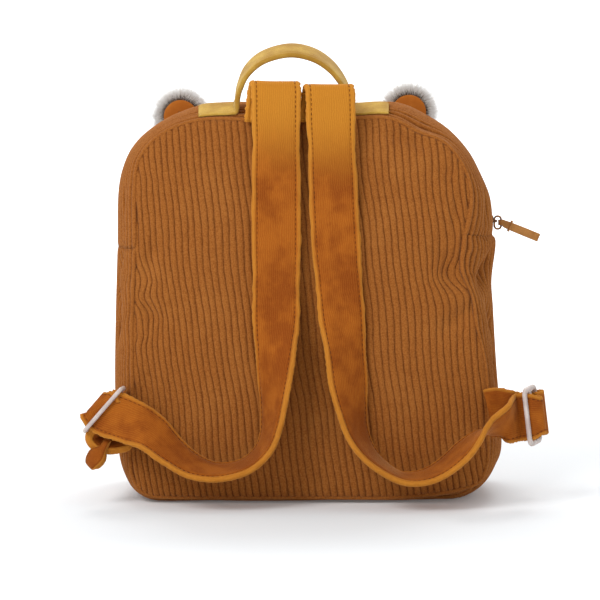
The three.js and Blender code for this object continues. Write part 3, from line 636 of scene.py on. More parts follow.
def dress(
    piece: Piece,
    material: Material,
    nodes: Sequence[str] = (),
) -> None:
    """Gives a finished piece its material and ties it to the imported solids.

    Args:
        piece: The piece.
        material: Its finish.
        nodes: The solids that it stands for.
    """
    if not piece.data.materials:
        piece.data.materials.append(material)
    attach(piece, BODY)
    if nodes:
        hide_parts(*nodes)
    LOG.info("%s: %d faces", piece.name, len(piece.data.polygons))


OUTLINE_ROWS = np.array([
    (0.0, -0.014, 0.0, 0.018), (-0.45, -0.014, -0.45, 0.018), (-0.76, -0.012, -0.73, 0.018),
    (-0.885, 0.012, -0.835, 0.028), (-0.95, 0.055, -0.885, 0.06), (-0.985, 0.12, -0.9, 0.12),
    (-1.0, 0.265, -0.885, 0.27), (-0.995, 0.44, -0.885, 0.46), (-0.982, 0.635, -0.87, 0.645),
    (-0.975, 0.775, -0.87, 0.775), (-0.94, 0.85, -0.86, 0.845), (-0.88, 0.9, -0.825, 0.885),
    (-0.785, 0.94, -0.765, 0.917), (-0.66, 0.973, -0.665, 0.945), (-0.5, 0.995, -0.5, 0.962),
    (-0.25, 0.998, -0.25, 0.958), (0.0, 0.988, 0.0, 0.956), (0.25, 0.994, 0.25, 0.965),
    (0.455, 0.997, 0.41, 0.962), (0.62, 0.962, 0.55, 0.93), (0.73, 0.925, 0.66, 0.912),
    (0.82, 0.875, 0.735, 0.878), (0.876, 0.825, 0.785, 0.835), (0.928, 0.765, 0.808, 0.785),
    (0.945, 0.71, 0.8, 0.73), (0.949, 0.665, 0.777, 0.68), (0.963, 0.64, 0.768, 0.65),
    (0.943, 0.55, 0.765, 0.59), (0.951, 0.48, 0.82, 0.525), (0.959, 0.415, 0.84, 0.46),
    (0.97, 0.33, 0.885, 0.37), (0.985, 0.24, 0.905, 0.27), (1.0, 0.125, 0.905, 0.145),
    (0.97, 0.08, 0.895, 0.09), (0.921, 0.04, 0.86, 0.055), (0.84, 0.004, 0.78, 0.042),
    (0.72, -0.012, 0.66, 0.03), (0.4, -0.014, 0.4, 0.018),
])


@dataclass(frozen=True)
class Fold:
    """A dent or ridge: its place, direction and shares of the height for its size."""

    across: float
    up: float
    angle: float
    length: float
    width: float
    depth: float
    way: float = 0.0

    def push(self, along: Array, across: Array, scale: float) -> Array:
        """How far the fold moves the cloth inward.

        Args:
            along: Distance from the fold's middle along the main direction.
            across: Distance from it across that direction.
            scale: The height that the shares belong to.

        Returns:
            The move at each point, in metres.
        """
        angle = math.radians(self.angle)
        lengthwise = along * math.cos(angle) + across * math.sin(angle)
        crosswise = across * math.cos(angle) - along * math.sin(angle)
        reach = (lengthwise / (self.length * scale)) ** 2 + (crosswise / (self.width * scale)) ** 2
        return self.depth * scale * np.exp(-reach)


@dataclass(frozen=True)
class Pinch:
    """A place where the wales are drawn sideways."""

    across: float
    up: float
    wide: float
    tall: float
    shift: float


PANEL_FOLDS = [Fold(*row) for row in (
    (0.5, 0.915, -16, 0.075, 0.014, 0.016), (0.71, 0.6, -62, 0.05, 0.022, 0.02),
    (0.76, 0.47, 40, 0.05, 0.022, 0.014), (-0.8, 0.62, 70, 0.05, 0.02, 0.01),
    (-0.8, 0.48, -60, 0.05, 0.02, 0.011), (0.0, 0.55, 88, 0.3, 0.1, 0.006),
    (0.745, 0.735, 82, 0.05, 0.012, 0.008), (0.7, 0.83, -40, 0.04, 0.014, 0.008),
    (-0.82, 0.3, 78, 0.06, 0.02, 0.006),
)]
GUSSET_FOLDS = [Fold(*row) for row in (
    (0.95, 0.575, 38, 0.055, 0.022, 0.026, 0.2), (0.955, 0.445, -30, 0.05, 0.022, 0.014, 0.22),
    (0.97, 0.34, 28, 0.05, 0.02, 0.012, 0.24), (0.6, 0.96, 4, 0.1, 0.02, 0.012, 0.09),
    (0.94, 0.73, 18, 0.05, 0.02, 0.009, 0.2), (-0.995, 0.6, 40, 0.04, 0.018, 0.012, 0.22),
    (-0.995, 0.52, -36, 0.045, 0.018, 0.014, 0.25), (-0.995, 0.43, 34, 0.045, 0.018, 0.012, 0.22),
    (-0.985, 0.15, -20, 0.05, 0.02, 0.01, 0.2), (0.985, 0.2, 24, 0.05, 0.02, 0.01, 0.2),
    (0.3, 0.99, 0, 0.12, 0.012, 0.008, 0.1), (-0.4, 0.99, 2, 0.12, 0.012, 0.007, 0.12),
    (-0.99, 0.75, 12, 0.06, 0.014, 0.006, 0.14), (0.15, -0.012, 2, 0.13, 0.013, 0.009, 0.07),
    (0.68, -0.004, -8, 0.1, 0.012, 0.012, 0.08), (0.9, 0.03, 20, 0.05, 0.016, 0.014, 0.12),
    (-0.6, -0.012, 6, 0.09, 0.012, 0.008, 0.06),
)]
PINCHES = [Pinch(*row) for row in (
    (-0.84, 0.815, 0.01, 0.01, 0.0015), (-0.84, 0.57, 0.012, 0.009, 0.003),
    (-0.84, 0.47, 0.013, 0.01, 0.0036), (-0.84, 0.52, 0.01, 0.006, -0.0022),
    (-0.86, 0.425, 0.008, 0.005, 0.002), (0.745, 0.575, 0.015, 0.01, -0.006),
    (0.79, 0.53, 0.01, 0.007, 0.003), (0.75, 0.68, 0.012, 0.014, 0.0025),
    (0.72, 0.5, 0.018, 0.014, 0.0018), (0.66, 0.86, 0.02, 0.014, 0.002),
)]


@dataclass
class BodyShape:
    """The bag's soft body: two crowned panels with a gusset between them."""

    half_width: float = 0.1385
    height: float = 0.281
    base_depth: float = 0.116
    top_depth: float = 0.100
    back_crown: float = 0.007
    front_crown: float = 0.013
    crown_power: float = 3.0
    bulge_power: float = 0.55
    front_across: float = 0.93
    front_up: float = 0.94
    wall: float = 0.0022
    wale_pitch: float = 0.00495
    wale_start: float = -0.0013
    wale_height: float = 0.0013
    seam_roll: float = 0.0012
    scallop: float = 0.0011
    left_seam_row: int = 8
    right_seam_row: int = 25
    zip_start: float = 0.64
    zip_end: float = 0.72

    @property
    def back(self) -> float:
        """The Y place of the back seam."""
        return -self.base_depth / 2

    def outline(self, rows: Array) -> tuple[Array, Array]:
        """The gusset's widest line and the back seam, as places across and up.

        Args:
            rows: Places along the outline's table.

        Returns:
            Two lists of places in metres.
        """
        values = along_rows(OUTLINE_ROWS, rows, True)
        scale = np.array([self.half_width, self.height, self.half_width, self.height])
        values = values * scale
        return values[:, :2], values[:, 2:]

    def gusset(self, rows: Array, ways: Array) -> Array:
        """The gusset's outer face before its folds and wales.

        Args:
            rows: Places along the outline's table.
            ways: Shares of the way from the back seam to the front seam.

        Returns:
            Points of a grid, in metres.
        """
        crest, back = self.outline(rows)
        middle = self.height / 2
        front = np.stack([
            crest[:, 0] * self.front_across,
            middle + (crest[:, 1] - middle) * self.front_up,
        ], 1)
        bulge = np.sin(np.pi * np.clip(ways, 0, 1)) ** self.bulge_power
        bulge[(ways <= 0) | (ways >= 1)] = 0
        seam = np.where((ways < 0.5)[None, :, None], back[:, None], front[:, None])
        flat = seam + (crest[:, None] - seam) * bulge[None, :, None]
        share = np.clip(flat[..., 1] / self.height, 0, 1)
        depth = self.base_depth + (self.top_depth - self.base_depth) * share
        return np.stack([flat[..., 0], self.back + ways[None, :] * depth, flat[..., 1]], -1)

    def folded_gusset(self, rows: Array, ways: Array) -> Array:
        """The gusset's outer face with its folds.

        Args:
            rows: Places along the outline's table.
            ways: Shares of the way from the back seam to the front seam.

        Returns:
            Points of a grid, in metres.
        """
        points = self.gusset(rows, ways)
        normals = grid_normals(points)
        crest, _ = self.outline(rows)
        ahead, _ = self.outline(rows + 0.5)
        behind, _ = self.outline(rows - 0.5)
        tangent = unit(ahead - behind)
        for fold in GUSSET_FOLDS:
            offset = np.array([fold.across * self.half_width, fold.up * self.height]) - crest
            side = np.sign((offset * tangent).sum(1))
            distance = side * np.linalg.norm(offset, axis=1)
            across = (ways - fold.way) * self.base_depth
            push = fold.push(distance[:, None], across[None, :], self.height)
            push = push * smooth(ways, 0, 0.04)[None, :]
            points -= normals * push[..., None]
        return points

    def point_at(self, row: float, way: float) -> tuple[Array, Array]:
        """One place of the gusset and the outward direction there."""
        rows = np.array([row - 0.2, row, row + 0.2])
        ways = np.array([way - 0.01, way, way + 0.01])
        points = self.folded_gusset(rows, ways)
        return points[1, 1], grid_normals(points)[1, 1]

    def row_at(self, axis: int, value: float, first: float, last: float, way: float) -> float:
        """The row between two rows whose point lies at a given place.

        Args:
            axis: 0 to look across, 2 to look up.
            value: The place looked for, in metres.
            first: The row where the search starts.
            last: The row where it ends.
            way: The share of the way across the gusset.

        Returns:
            The row, with its fraction.
        """
        rows = np.linspace(first, last, 400)
        found = self.gusset(rows, np.array([way]))[:, 0, axis]
        order = np.argsort(found)
        return float(np.interp(value, found[order], rows[order]))

    def station(self, row: Sequence[float], size: Pair) -> tuple:
        """One station of a strap that lies off the back panel.

        Args:
            row: Across, up and off the panel in shares of the body and the width, two angles
                for the direction across, and shares of the width and of the thickness.
            size: The strap's width and thickness.

        Returns:
            Its place, direction across, width and thickness.
        """
        across, up, stand, lean, turn, wide, thick = row
        return (
            across * self.half_width, self.back - stand * size[0], up * self.height,
            *lean_across(lean, turn), wide * size[0], thick * size[1],
        )

    def panel_reach(self, front: bool) -> tuple[Array, Array]:
        """How far the panel's seam lies from its middle, in every direction.

        Args:
            front: Whether it is the front panel.

        Returns:
            Directions in radians and distances in metres.
        """
        rows = np.linspace(0, len(OUTLINE_ROWS), 1600, endpoint=False)
        way = 1.0 if front else 0.0
        seam = self.gusset(rows, np.array([way]))[:, 0]
        offset = seam[:, [0, 2]] - np.array([0, self.height / 2])
        angle = np.arctan2(offset[:, 1], offset[:, 0])
        order = np.argsort(angle)
        return angle[order], np.linalg.norm(offset, axis=1)[order]


@dataclass
class Body:
    """The corduroy body: panels, side strips and the strips beside the zip.

    Each ripple moves the wales by a sine of the height and the place across: its two rates,
    its start and its size in metres. A side strip is gathered between two heights, by a
    third measure.
    """

    shape: BodyShape
    cloth: Material
    panel_samples: int = 7
    front_samples: int = 6
    gusset_samples: int = 6
    panel_rows: int = 112
    front_rows: int = 92
    panel_spare: float = 1.18
    strip_columns: int = 150
    lean_bottom: float = -0.125
    lean_change: float = 0.045
    lean_middle: float = 0.14
    squeeze: Pair = (3.9, 1.6)
    wale_roundness: float = 0.9
    strip_roundness: float = 2.0
    sunk: float = 0.6
    rim: float = 0.005

    RIPPLES = (
        (95, 0, 1.2, 0.0005), (41, 22, 0, 0.0007),
        (230, 900, 0, 0.00024), (370, -1300, 0, 0.00014),
    )
    GATHER_LEFT = (0.1, 0.175, 0.0021)
    GATHER_RIGHT = (0.06, 0.19, 0.0016)

    def ridge(self, phase: Array) -> Array:
        """A wale's height from 0 to 1 at each phase, with a narrow dip at whole numbers."""
        place = phase - np.floor(phase)
        return np.sqrt(np.clip(1 - (2 * place - 1) ** 2, 0, 1)) ** self.wale_roundness

    def drawn(self, x: Array, z: Array) -> Array:
        """How far the wales are drawn sideways on the back panel.

        Args:
            x: Places across.
            z: Places up.

        Returns:
            The move of each place, in metres.
        """
        shape = self.shape
        moved = np.zeros_like(x)
        for pinch in PINCHES:
            far = ((x - pinch.across * shape.half_width) / pinch.wide) ** 2
            high = ((z - pinch.up * shape.height) / pinch.tall) ** 2
            moved += pinch.shift * np.exp(-far - high)
        for upward, sideways, begin, size in self.RIPPLES:
            moved += np.sin(z * upward + x * sideways + begin) * size
        return moved

    def panel(self, front: bool) -> Piece:
        """Builds one panel with its wales.

        Args:
            front: Whether it is the plain front panel.

        Returns:
            The panel's object.
        """
        shape = self.shape
        samples = self.front_samples if front else self.panel_samples
        wales = math.ceil(shape.half_width * self.panel_spare / shape.wale_pitch)
        phase = np.arange(-wales * samples, wales * samples + 1) / samples
        rows = self.front_rows if front else self.panel_rows
        z = np.linspace(-0.001, shape.height, rows)
        phase_grid, z_grid = np.meshgrid(phase, z, indexing="ij")
        x_grid = phase_grid * shape.wale_pitch
        if not front:
            x_grid += shape.wale_start
            squeeze = np.where(x_grid < 0, self.squeeze[0], self.squeeze[1])
            x_grid -= squeeze * x_grid**3
            x_grid += self.lean_bottom * (z_grid - self.lean_middle)
            x_grid += self.lean_change * (z_grid**2 - self.lean_middle**2)
            x_grid += self.drawn(x_grid, z_grid)
        angles, reaches = shape.panel_reach(front)
        middle = shape.height / 2
        angle = np.arctan2(z_grid - middle, x_grid)
        reach = np.interp(angle, angles, reaches, period=2 * np.pi)
        away = np.hypot(x_grid, z_grid - middle)
        outside = away > reach
        wale = self.ridge(phase_grid)
        rim = reach + shape.scallop * wale
        pull = np.where(outside, rim / np.maximum(away, 1e-6), 1)
        x_grid, z_grid = x_grid * pull, middle + (z_grid - middle) * pull
        share = np.minimum(away / reach, 1)
        inset = reach * (1 - share)
        crown = 1 - share**shape.crown_power
        roll = shape.seam_roll * (1 - smooth(inset, 0, self.rim)) ** 2
        if front:
            depth = shape.base_depth + (shape.top_depth - shape.base_depth) * z_grid / shape.height
            y_grid = shape.back + depth + shape.front_crown * crown - roll
        else:
            y_grid = shape.back - shape.back_crown * crown + roll
            for fold in PANEL_FOLDS:
                y_grid += fold.push(
                    x_grid - fold.across * shape.half_width,
                    z_grid - fold.up * shape.height,
                    shape.height,
                )
        base = np.stack([x_grid, y_grid, z_grid], -1)
        faces = grid_faces(len(phase), rows)
        normals = grid_normals(np.stack([
            phase_grid * shape.wale_pitch,
            y_grid,
            np.broadcast_to(z[None, :], z_grid.shape),
        ], -1))
        if front:
            faces = faces[:, ::-1]
            normals = -normals
        height = shape.wale_height * wale * (0.8 + 0.2 * smooth(inset, 0, 0.003))
        outer = base + normals * (height - shape.wale_height * self.sunk)[..., None]
        inner = base - normals * shape.wall
        hidden = outside.ravel()
        keep = ~hidden[faces].all(axis=1)
        name = "front_panel_corduroy" if front else "back_panel_corduroy"
        return make_shell(name, outer, inner, faces[keep], wale)

    def strip(
        self,
        name: str,
        rows: Pair,
        ways: Pair,
        steps: int,
        lift: float,
    ) -> Piece:
        """Builds one strip of the gusset, with wales that run along it.

        Args:
            name: The piece's name.
            rows: The outline's rows where it starts and ends.
            ways: The shares of the way across the gusset where it starts and ends.
            steps: How many columns of points lie along it.
            lift: The share of the full wale height.

        Returns:
            The strip's object.
        """
        shape = self.shape
        along = np.linspace(rows[0], rows[1], steps)
        turns = np.linspace(0, np.pi, self.strip_columns)
        fine = ways[0] + (ways[1] - ways[0]) * (1 - np.cos(turns)) / 2
        points = shape.folded_gusset(along, fine)
        lengths = np.linalg.norm(np.diff(points, axis=1), axis=-1)
        totals = np.concatenate([np.zeros((steps, 1)), np.cumsum(lengths, axis=1)], axis=1)
        wales = max(1, round(float(totals[:, -1].mean()) / shape.wale_pitch))
        count = wales * self.gusset_samples + 1
        base = np.empty((steps, count, 3))
        shares = np.linspace(0, 1, count)
        heights = points[:, :, 2].mean(axis=1)
        for step in range(steps):
            places = shares * totals[step, -1]
            places += self.gather(places, heights[step], points[step, 0, 0] > 0)
            for axis in range(3):
                base[step, :, axis] = np.interp(places, totals[step], points[step, :, axis])
        normals = grid_normals(base)
        phase = np.broadcast_to(shares * wales, (steps, count))
        # Raising the ridge to a power narrows the strips' wales and widens their painted groove shade.
        wale = self.ridge(phase) ** self.strip_roundness
        run = running(np.linalg.norm(np.diff(base.mean(axis=1), axis=0), axis=-1))
        end = np.minimum(run, run[-1] - run)
        across = np.minimum(shares, 1 - shares) * totals[:, -1].mean()
        height = shape.wale_height * lift * (wale - self.sunk)
        height -= shape.seam_roll * 0.5 * (1 - smooth(end, 0, 0.004))[:, None]
        height -= shape.seam_roll * 0.4 * (1 - smooth(across, 0, 0.004))[None, :]
        outer = base + normals * height[..., None]
        inner = base - normals * (shape.wall + shape.seam_roll * 0.3)
        outer[..., 2] = np.maximum(outer[..., 2], 0.0003)
        inner[..., 2] = np.maximum(inner[..., 2], 0.002)
        return make_shell(name, outer, inner, grid_faces(steps, count), wale)

    def gather(self, places: Array, height: float, right: bool) -> Array:
        """How far the side strip's wales are gathered sideways.

        Args:
            places: Distances from the back seam.
            height: How high the strip is there.
            right: Whether it is the right side.

        Returns:
            The move of each place along the cloth.
        """
        low, high, drawn = self.GATHER_RIGHT if right else self.GATHER_LEFT
        near = smooth(height, low - 0.03, low + 0.03) * (1 - smooth(height, high - 0.03, high + 0.025))
        inside = smooth(places, 0.0, 0.012) * (1 - smooth(places, 0.03, 0.075))
        wave = np.sin(height * 215 + places * 70) + 0.3 * np.sin(height * 470 - places * 110)
        return near * inside * wave * drawn

    def build(self) -> None:
        """Builds and dresses every corduroy piece."""
        shape = self.shape
        lower = (shape.right_seam_row, shape.left_seam_row + len(OUTLINE_ROWS))
        arch = (shape.left_seam_row, shape.right_seam_row)
        pieces = {
            "back_panel": self.panel(False),
            "front_panel": self.panel(True),
            "lower_gusset": self.strip("side_strip_corduroy", lower, (0, 1), 300, 1.5),
            "zip_gusset_back": self.strip("zip_strip_back", arch, (0, shape.zip_start), 240, 1.4),
            "zip_gusset_front": self.strip("zip_strip_front", arch, (shape.zip_end, 1), 190, 0.9),
        }
        for node, piece in pieces.items():
            dress(piece, self.cloth, [node])


VELVET_SECTION = (
    (1.0, 0.0), (0.985, 0.45), (0.93, 0.85), (0.86, 1.0), (0.81, 0.86), (0.785, 0.7),
    (0.76, 0.86), (0.7, 1.0), (0.45, 1.02), (0.2, 1.04), (0.0, 1.05),
)
WEB_SECTION = (
    (1.0, 0.0), (0.985, 0.6), (0.95, 0.95), (0.88, 1.0), (0.84, 0.9), (0.8, 1.0),
    (0.5, 1.0), (0.25, 1.0), (0.0, 1.0),
)


def full_section(quarter: Sequence[Pair]) -> Array:
    """Closes a quarter of a band's section into the whole one.

    Args:
        quarter: Shares of half the width and half the thickness, from the edge to the middle.

    Returns:
        The section's points, going round once.
    """
    left = [(-across, rise) for across, rise in reversed(quarter[:-1])]
    bottom = [(-across, -rise) for across, rise in quarter[1:]]
    right = [(across, -rise) for across, rise in reversed(quarter[1:-1])]
    return np.array([*quarter, *left, *bottom, *right])


def encloses(points: Array, faces: Sequence[Sequence[int]]) -> bool:
    """Whether a closed mesh's faces point outward, from the sign of its volume.

    Args:
        points: The mesh's points.
        faces: Its faces.

    Returns:
        True if the volume is positive.
    """
    total = 0.0
    for size in {len(face) for face in faces}:
        group = np.array([face for face in faces if len(face) == size])
        first = points[group[:, 0]]
        for step in range(1, size - 1):
            second, third = points[group[:, step]], points[group[:, step + 1]]
            total += float((first * np.cross(second, third)).sum())
    return total > 0


def sweep(
    name: str,
    rings: Array,
    closed: bool = False,
    numbers: Mapping[str, Array] | None = None,
) -> Piece:
    """Makes a solid from rings of points, closed into a loop or capped at both ends."""
    return make_object(name, *sweep_parts(rings, closed), numbers)


def sweep_parts(rings: Array, closed: bool = False) -> Solid:
    """The points and outward faces of a solid swept through rings.

    Args:
        rings: Rings with the same number of points each.
        closed: Whether the last ring is followed by the first, instead of caps.

    Returns:
        Points and faces.
    """
    count, size = rings.shape[:2]
    points = rings.reshape(-1, 3)
    faces = grid_faces(count, size, True).tolist()
    last = (count - 1) * size
    if closed:
        faces += [[last + i, i, (i + 1) % size, last + (i + 1) % size] for i in range(size)]
    else:
        faces.append(list(range(size - 1, -1, -1)))
        faces.append([last + i for i in range(size)])
    if not encloses(points, faces):
        faces = [face[::-1] for face in faces]
    return points, faces


def tube_rings(
    path: Array,
    facing: Array,
    wide: float,
    thick: float,
    sides: int = 14,
    squareness: float = 1.0,
) -> Array:
    """Rings of points round a path.

    Args:
        path: The path's points, which close on themselves if the first follows the last.
        facing: The direction in which the section's thickness lies.
        wide: The section's size across that direction.
        thick: Its size along it.
        sides: How many points each ring has.
        squareness: 1 for an ellipse, and less for flatter faces.

    Returns:
        One ring for each point of the path.
    """
    shut = np.linalg.norm(path[0] - path[-1]) < np.linalg.norm(path[1] - path[0]) * 3
    before = np.roll(path, 1, axis=0)
    after = np.roll(path, -1, axis=0)
    if not shut:
        before[0], after[-1] = path[0], path[-1]
    tangent = unit(after - before)
    side = unit(np.cross(tangent, np.broadcast_to(facing, tangent.shape)))
    rise = unit(np.cross(side, tangent))
    turns = np.linspace(0, 2 * np.pi, sides, endpoint=False)
    across = np.sign(np.cos(turns)) * np.abs(np.cos(turns)) ** squareness * wide / 2
    out = np.sign(np.sin(turns)) * np.abs(np.sin(turns)) ** squareness * thick / 2
    return path[:, None] + side[:, None] * across[:, None] + rise[:, None] * out[:, None]


def ring_path(
    middle: Array,
    long: Array,
    short: Array,
    size: Triple,
) -> Array:
    """A rounded rectangle's path.

    Args:
        middle: Its middle.
        long: The direction of its length.
        short: The direction of its width.
        size: Its length, its width and its corners' radius.

    Returns:
        The path's points, going round once.
    """
    length, width, corner = size
    points = []
    for quarter, (along, across) in enumerate([(1, 1), (-1, 1), (-1, -1), (1, -1)]):
        centre = middle + long * along * (length / 2 - corner)
        centre += short * across * (width / 2 - corner)
        for angle in np.linspace(quarter, quarter + 1, 9) * math.pi / 2:
            points.append(centre + (long * math.cos(angle) + short * math.sin(angle)) * corner)
    return np.array(points)


def soft_block(
    middle: Array,
    axes: Array,
    size: Sequence[float],
    squareness: float = 0.35,
) -> Solid:
    """The points and faces of a block with rounded edges.

    Args:
        middle: The block's middle.
        axes: Its three directions.
        size: Its size along each.
        squareness: 1 for an ellipsoid, and less for flatter faces.

    Returns:
        Points and faces.
    """
    turns = np.linspace(0, 2 * np.pi, 20, endpoint=False)
    tilts = np.linspace(-np.pi / 2, np.pi / 2, 13)[1:-1]

    def power(values: Array) -> Array:
        """Values to a power, with their signs."""
        return np.sign(values) * np.abs(values) ** squareness

    rings = []
    for tilt in tilts:
        local = np.stack([
            power(np.cos(turns)) * power(np.cos(tilt)) * size[0] / 2,
            power(np.sin(turns)) * power(np.cos(tilt)) * size[1] / 2,
            np.full(len(turns), power(np.sin(tilt)) * size[2] / 2),
        ], 1)
        rings.append(middle + local @ axes)
    return sweep_parts(np.array(rings))


def merge(parts: Sequence[Solid]) -> Solid:
    """Puts the points and faces of several solids into one list each."""
    points, faces, start = [], [], 0
    for part_points, part_faces in parts:
        points.append(part_points)
        faces += [[start + index for index in face] for face in part_faces]
        start += len(part_points)
    return np.concatenate(points), faces


def lean_across(lean: float, turn: float) -> Array:
    """A direction across a band: an angle in the picture, then a turn towards the strap side."""
    lean, turn = math.radians(lean), math.radians(turn)
    return np.array([
        math.cos(lean) * math.cos(turn),
        -math.sin(turn),
        math.sin(lean) * math.cos(turn),
    ])


@dataclass
class Seam:
    """A line that stitches follow, and the way that they face at each of its points."""

    points: Array
    facing: Array


@dataclass
class Band:
    """A flat band of cloth through stations of place, direction across, width and thickness."""

    stations: Sequence[Sequence[float]]
    steps: int = 8
    wave: float = 0.0
    puff: float = 0.0
    fray: float = 0.0
    start: float = 0.0

    ROUND_END = 0.0022
    SEED = 5

    def frames(self) -> tuple[Array, Array, Array, Array]:
        """Places, directions across, face normals and sizes along the band."""
        rows = np.array(self.stations)
        count = (len(rows) - 1) * self.steps + 1
        values = along_rows(rows, np.linspace(0, len(rows) - 1, count))
        places = values[:, :3]
        tangent = unit(np.gradient(places, axis=0))
        across = values[:, 3:6]
        across = unit(across - tangent * (across * tangent).sum(1, keepdims=True))
        return places, across, np.cross(tangent, across), values[:, 6:8]

    def build(self, name: str, section: Array) -> Piece:
        """Builds the band.

        Args:
            name: The piece's name.
            section: Shares of half the width and half the thickness, going round once.

        Returns:
            The band's object, closed at both ends.
        """
        places, across, normal, sizes = self.frames()
        along = running(np.linalg.norm(np.diff(places, axis=0), axis=-1))
        edge = np.minimum(along, along[-1] - along)
        ends = np.sqrt(np.clip(edge / self.ROUND_END, 0.08, 1))
        drift = self.wave * (np.sin(along * 61) + 0.6 * np.sin(along * 137 + 1))
        frayed = np.random.default_rng(self.SEED).uniform(-1, 1, (len(along), 2)) * self.fray
        loose = np.where(section[None, :, 0] > 0, frayed[:, :1], frayed[:, 1:])
        loose *= np.abs(section[None, :, 0]) ** 8
        side = section[None, :, 0] * (sizes[:, :1] / 2 + drift[:, None] + loose)
        swell = 1 + self.puff * np.sin(along * 83 + 0.7)[:, None] * (1 - section[None, :, 0] ** 2)
        face = section[None, :, 1] * sizes[:, 1:] / 2 * ends[:, None] * swell
        rings = places[:, None] + across[:, None] * side[..., None]
        rings += normal[:, None] * face[..., None]
        numbers = {
            "across": np.broadcast_to(section[None, :, 0], side.shape),
            "along": np.broadcast_to(along[:, None] + self.start, side.shape),
        }
        return sweep(name, rings, False, numbers)

    def seam(self, share: float, face: int, ends: Pair = (0.0, 1.0)) -> Seam:
        """A line along the band, for a row of stitches.

        Args:
            share: Where it lies across, as a share of half the width.
            face: 1 or -1 for the face that it lies on.
            ends: Where it starts and ends, as shares of the length.

        Returns:
            The seam.
        """
        places, across, normal, sizes = self.frames()
        points = places + across * share * sizes[:, :1] / 2 + normal * face * 0.42 * sizes[:, 1:]
        first, last = (int(end * (len(points) - 1)) for end in ends)
        return Seam(points[first:last + 1], normal[first:last + 1] * face)


def grow(
    name: str,
    seed_mesh: bpy.types.Mesh,
    tree: bpy.types.GeometryNodeTree,
    values: Mapping[str, Any],
) -> Piece:
    """Runs a node tree on a mesh and keeps what it makes as a plain mesh.

    Args:
        name: The piece's name.
        seed_mesh: The mesh that the tree starts from.
        tree: The node tree.
        values: The tree's inputs by name.

    Returns:
        The finished object.
    """
    helper = place_object(name + "_seed", seed_mesh)
    modifier = helper.modifiers.new("grow", "NODES")
    modifier.node_group = tree
    for item in tree.interface.items_tree:
        if item.item_type == "SOCKET" and item.in_out == "INPUT" and item.name in values:
            modifier[item.identifier] = values[item.name]
    bpy.context.view_layer.update()
    evaluated = helper.evaluated_get(bpy.context.evaluated_depsgraph_get())
    mesh = bpy.data.meshes.new_from_object(evaluated)
    mesh.name = name
    helper.modifiers.remove(modifier)
    bpy.data.objects.remove(helper)
    return place_object(name, mesh)


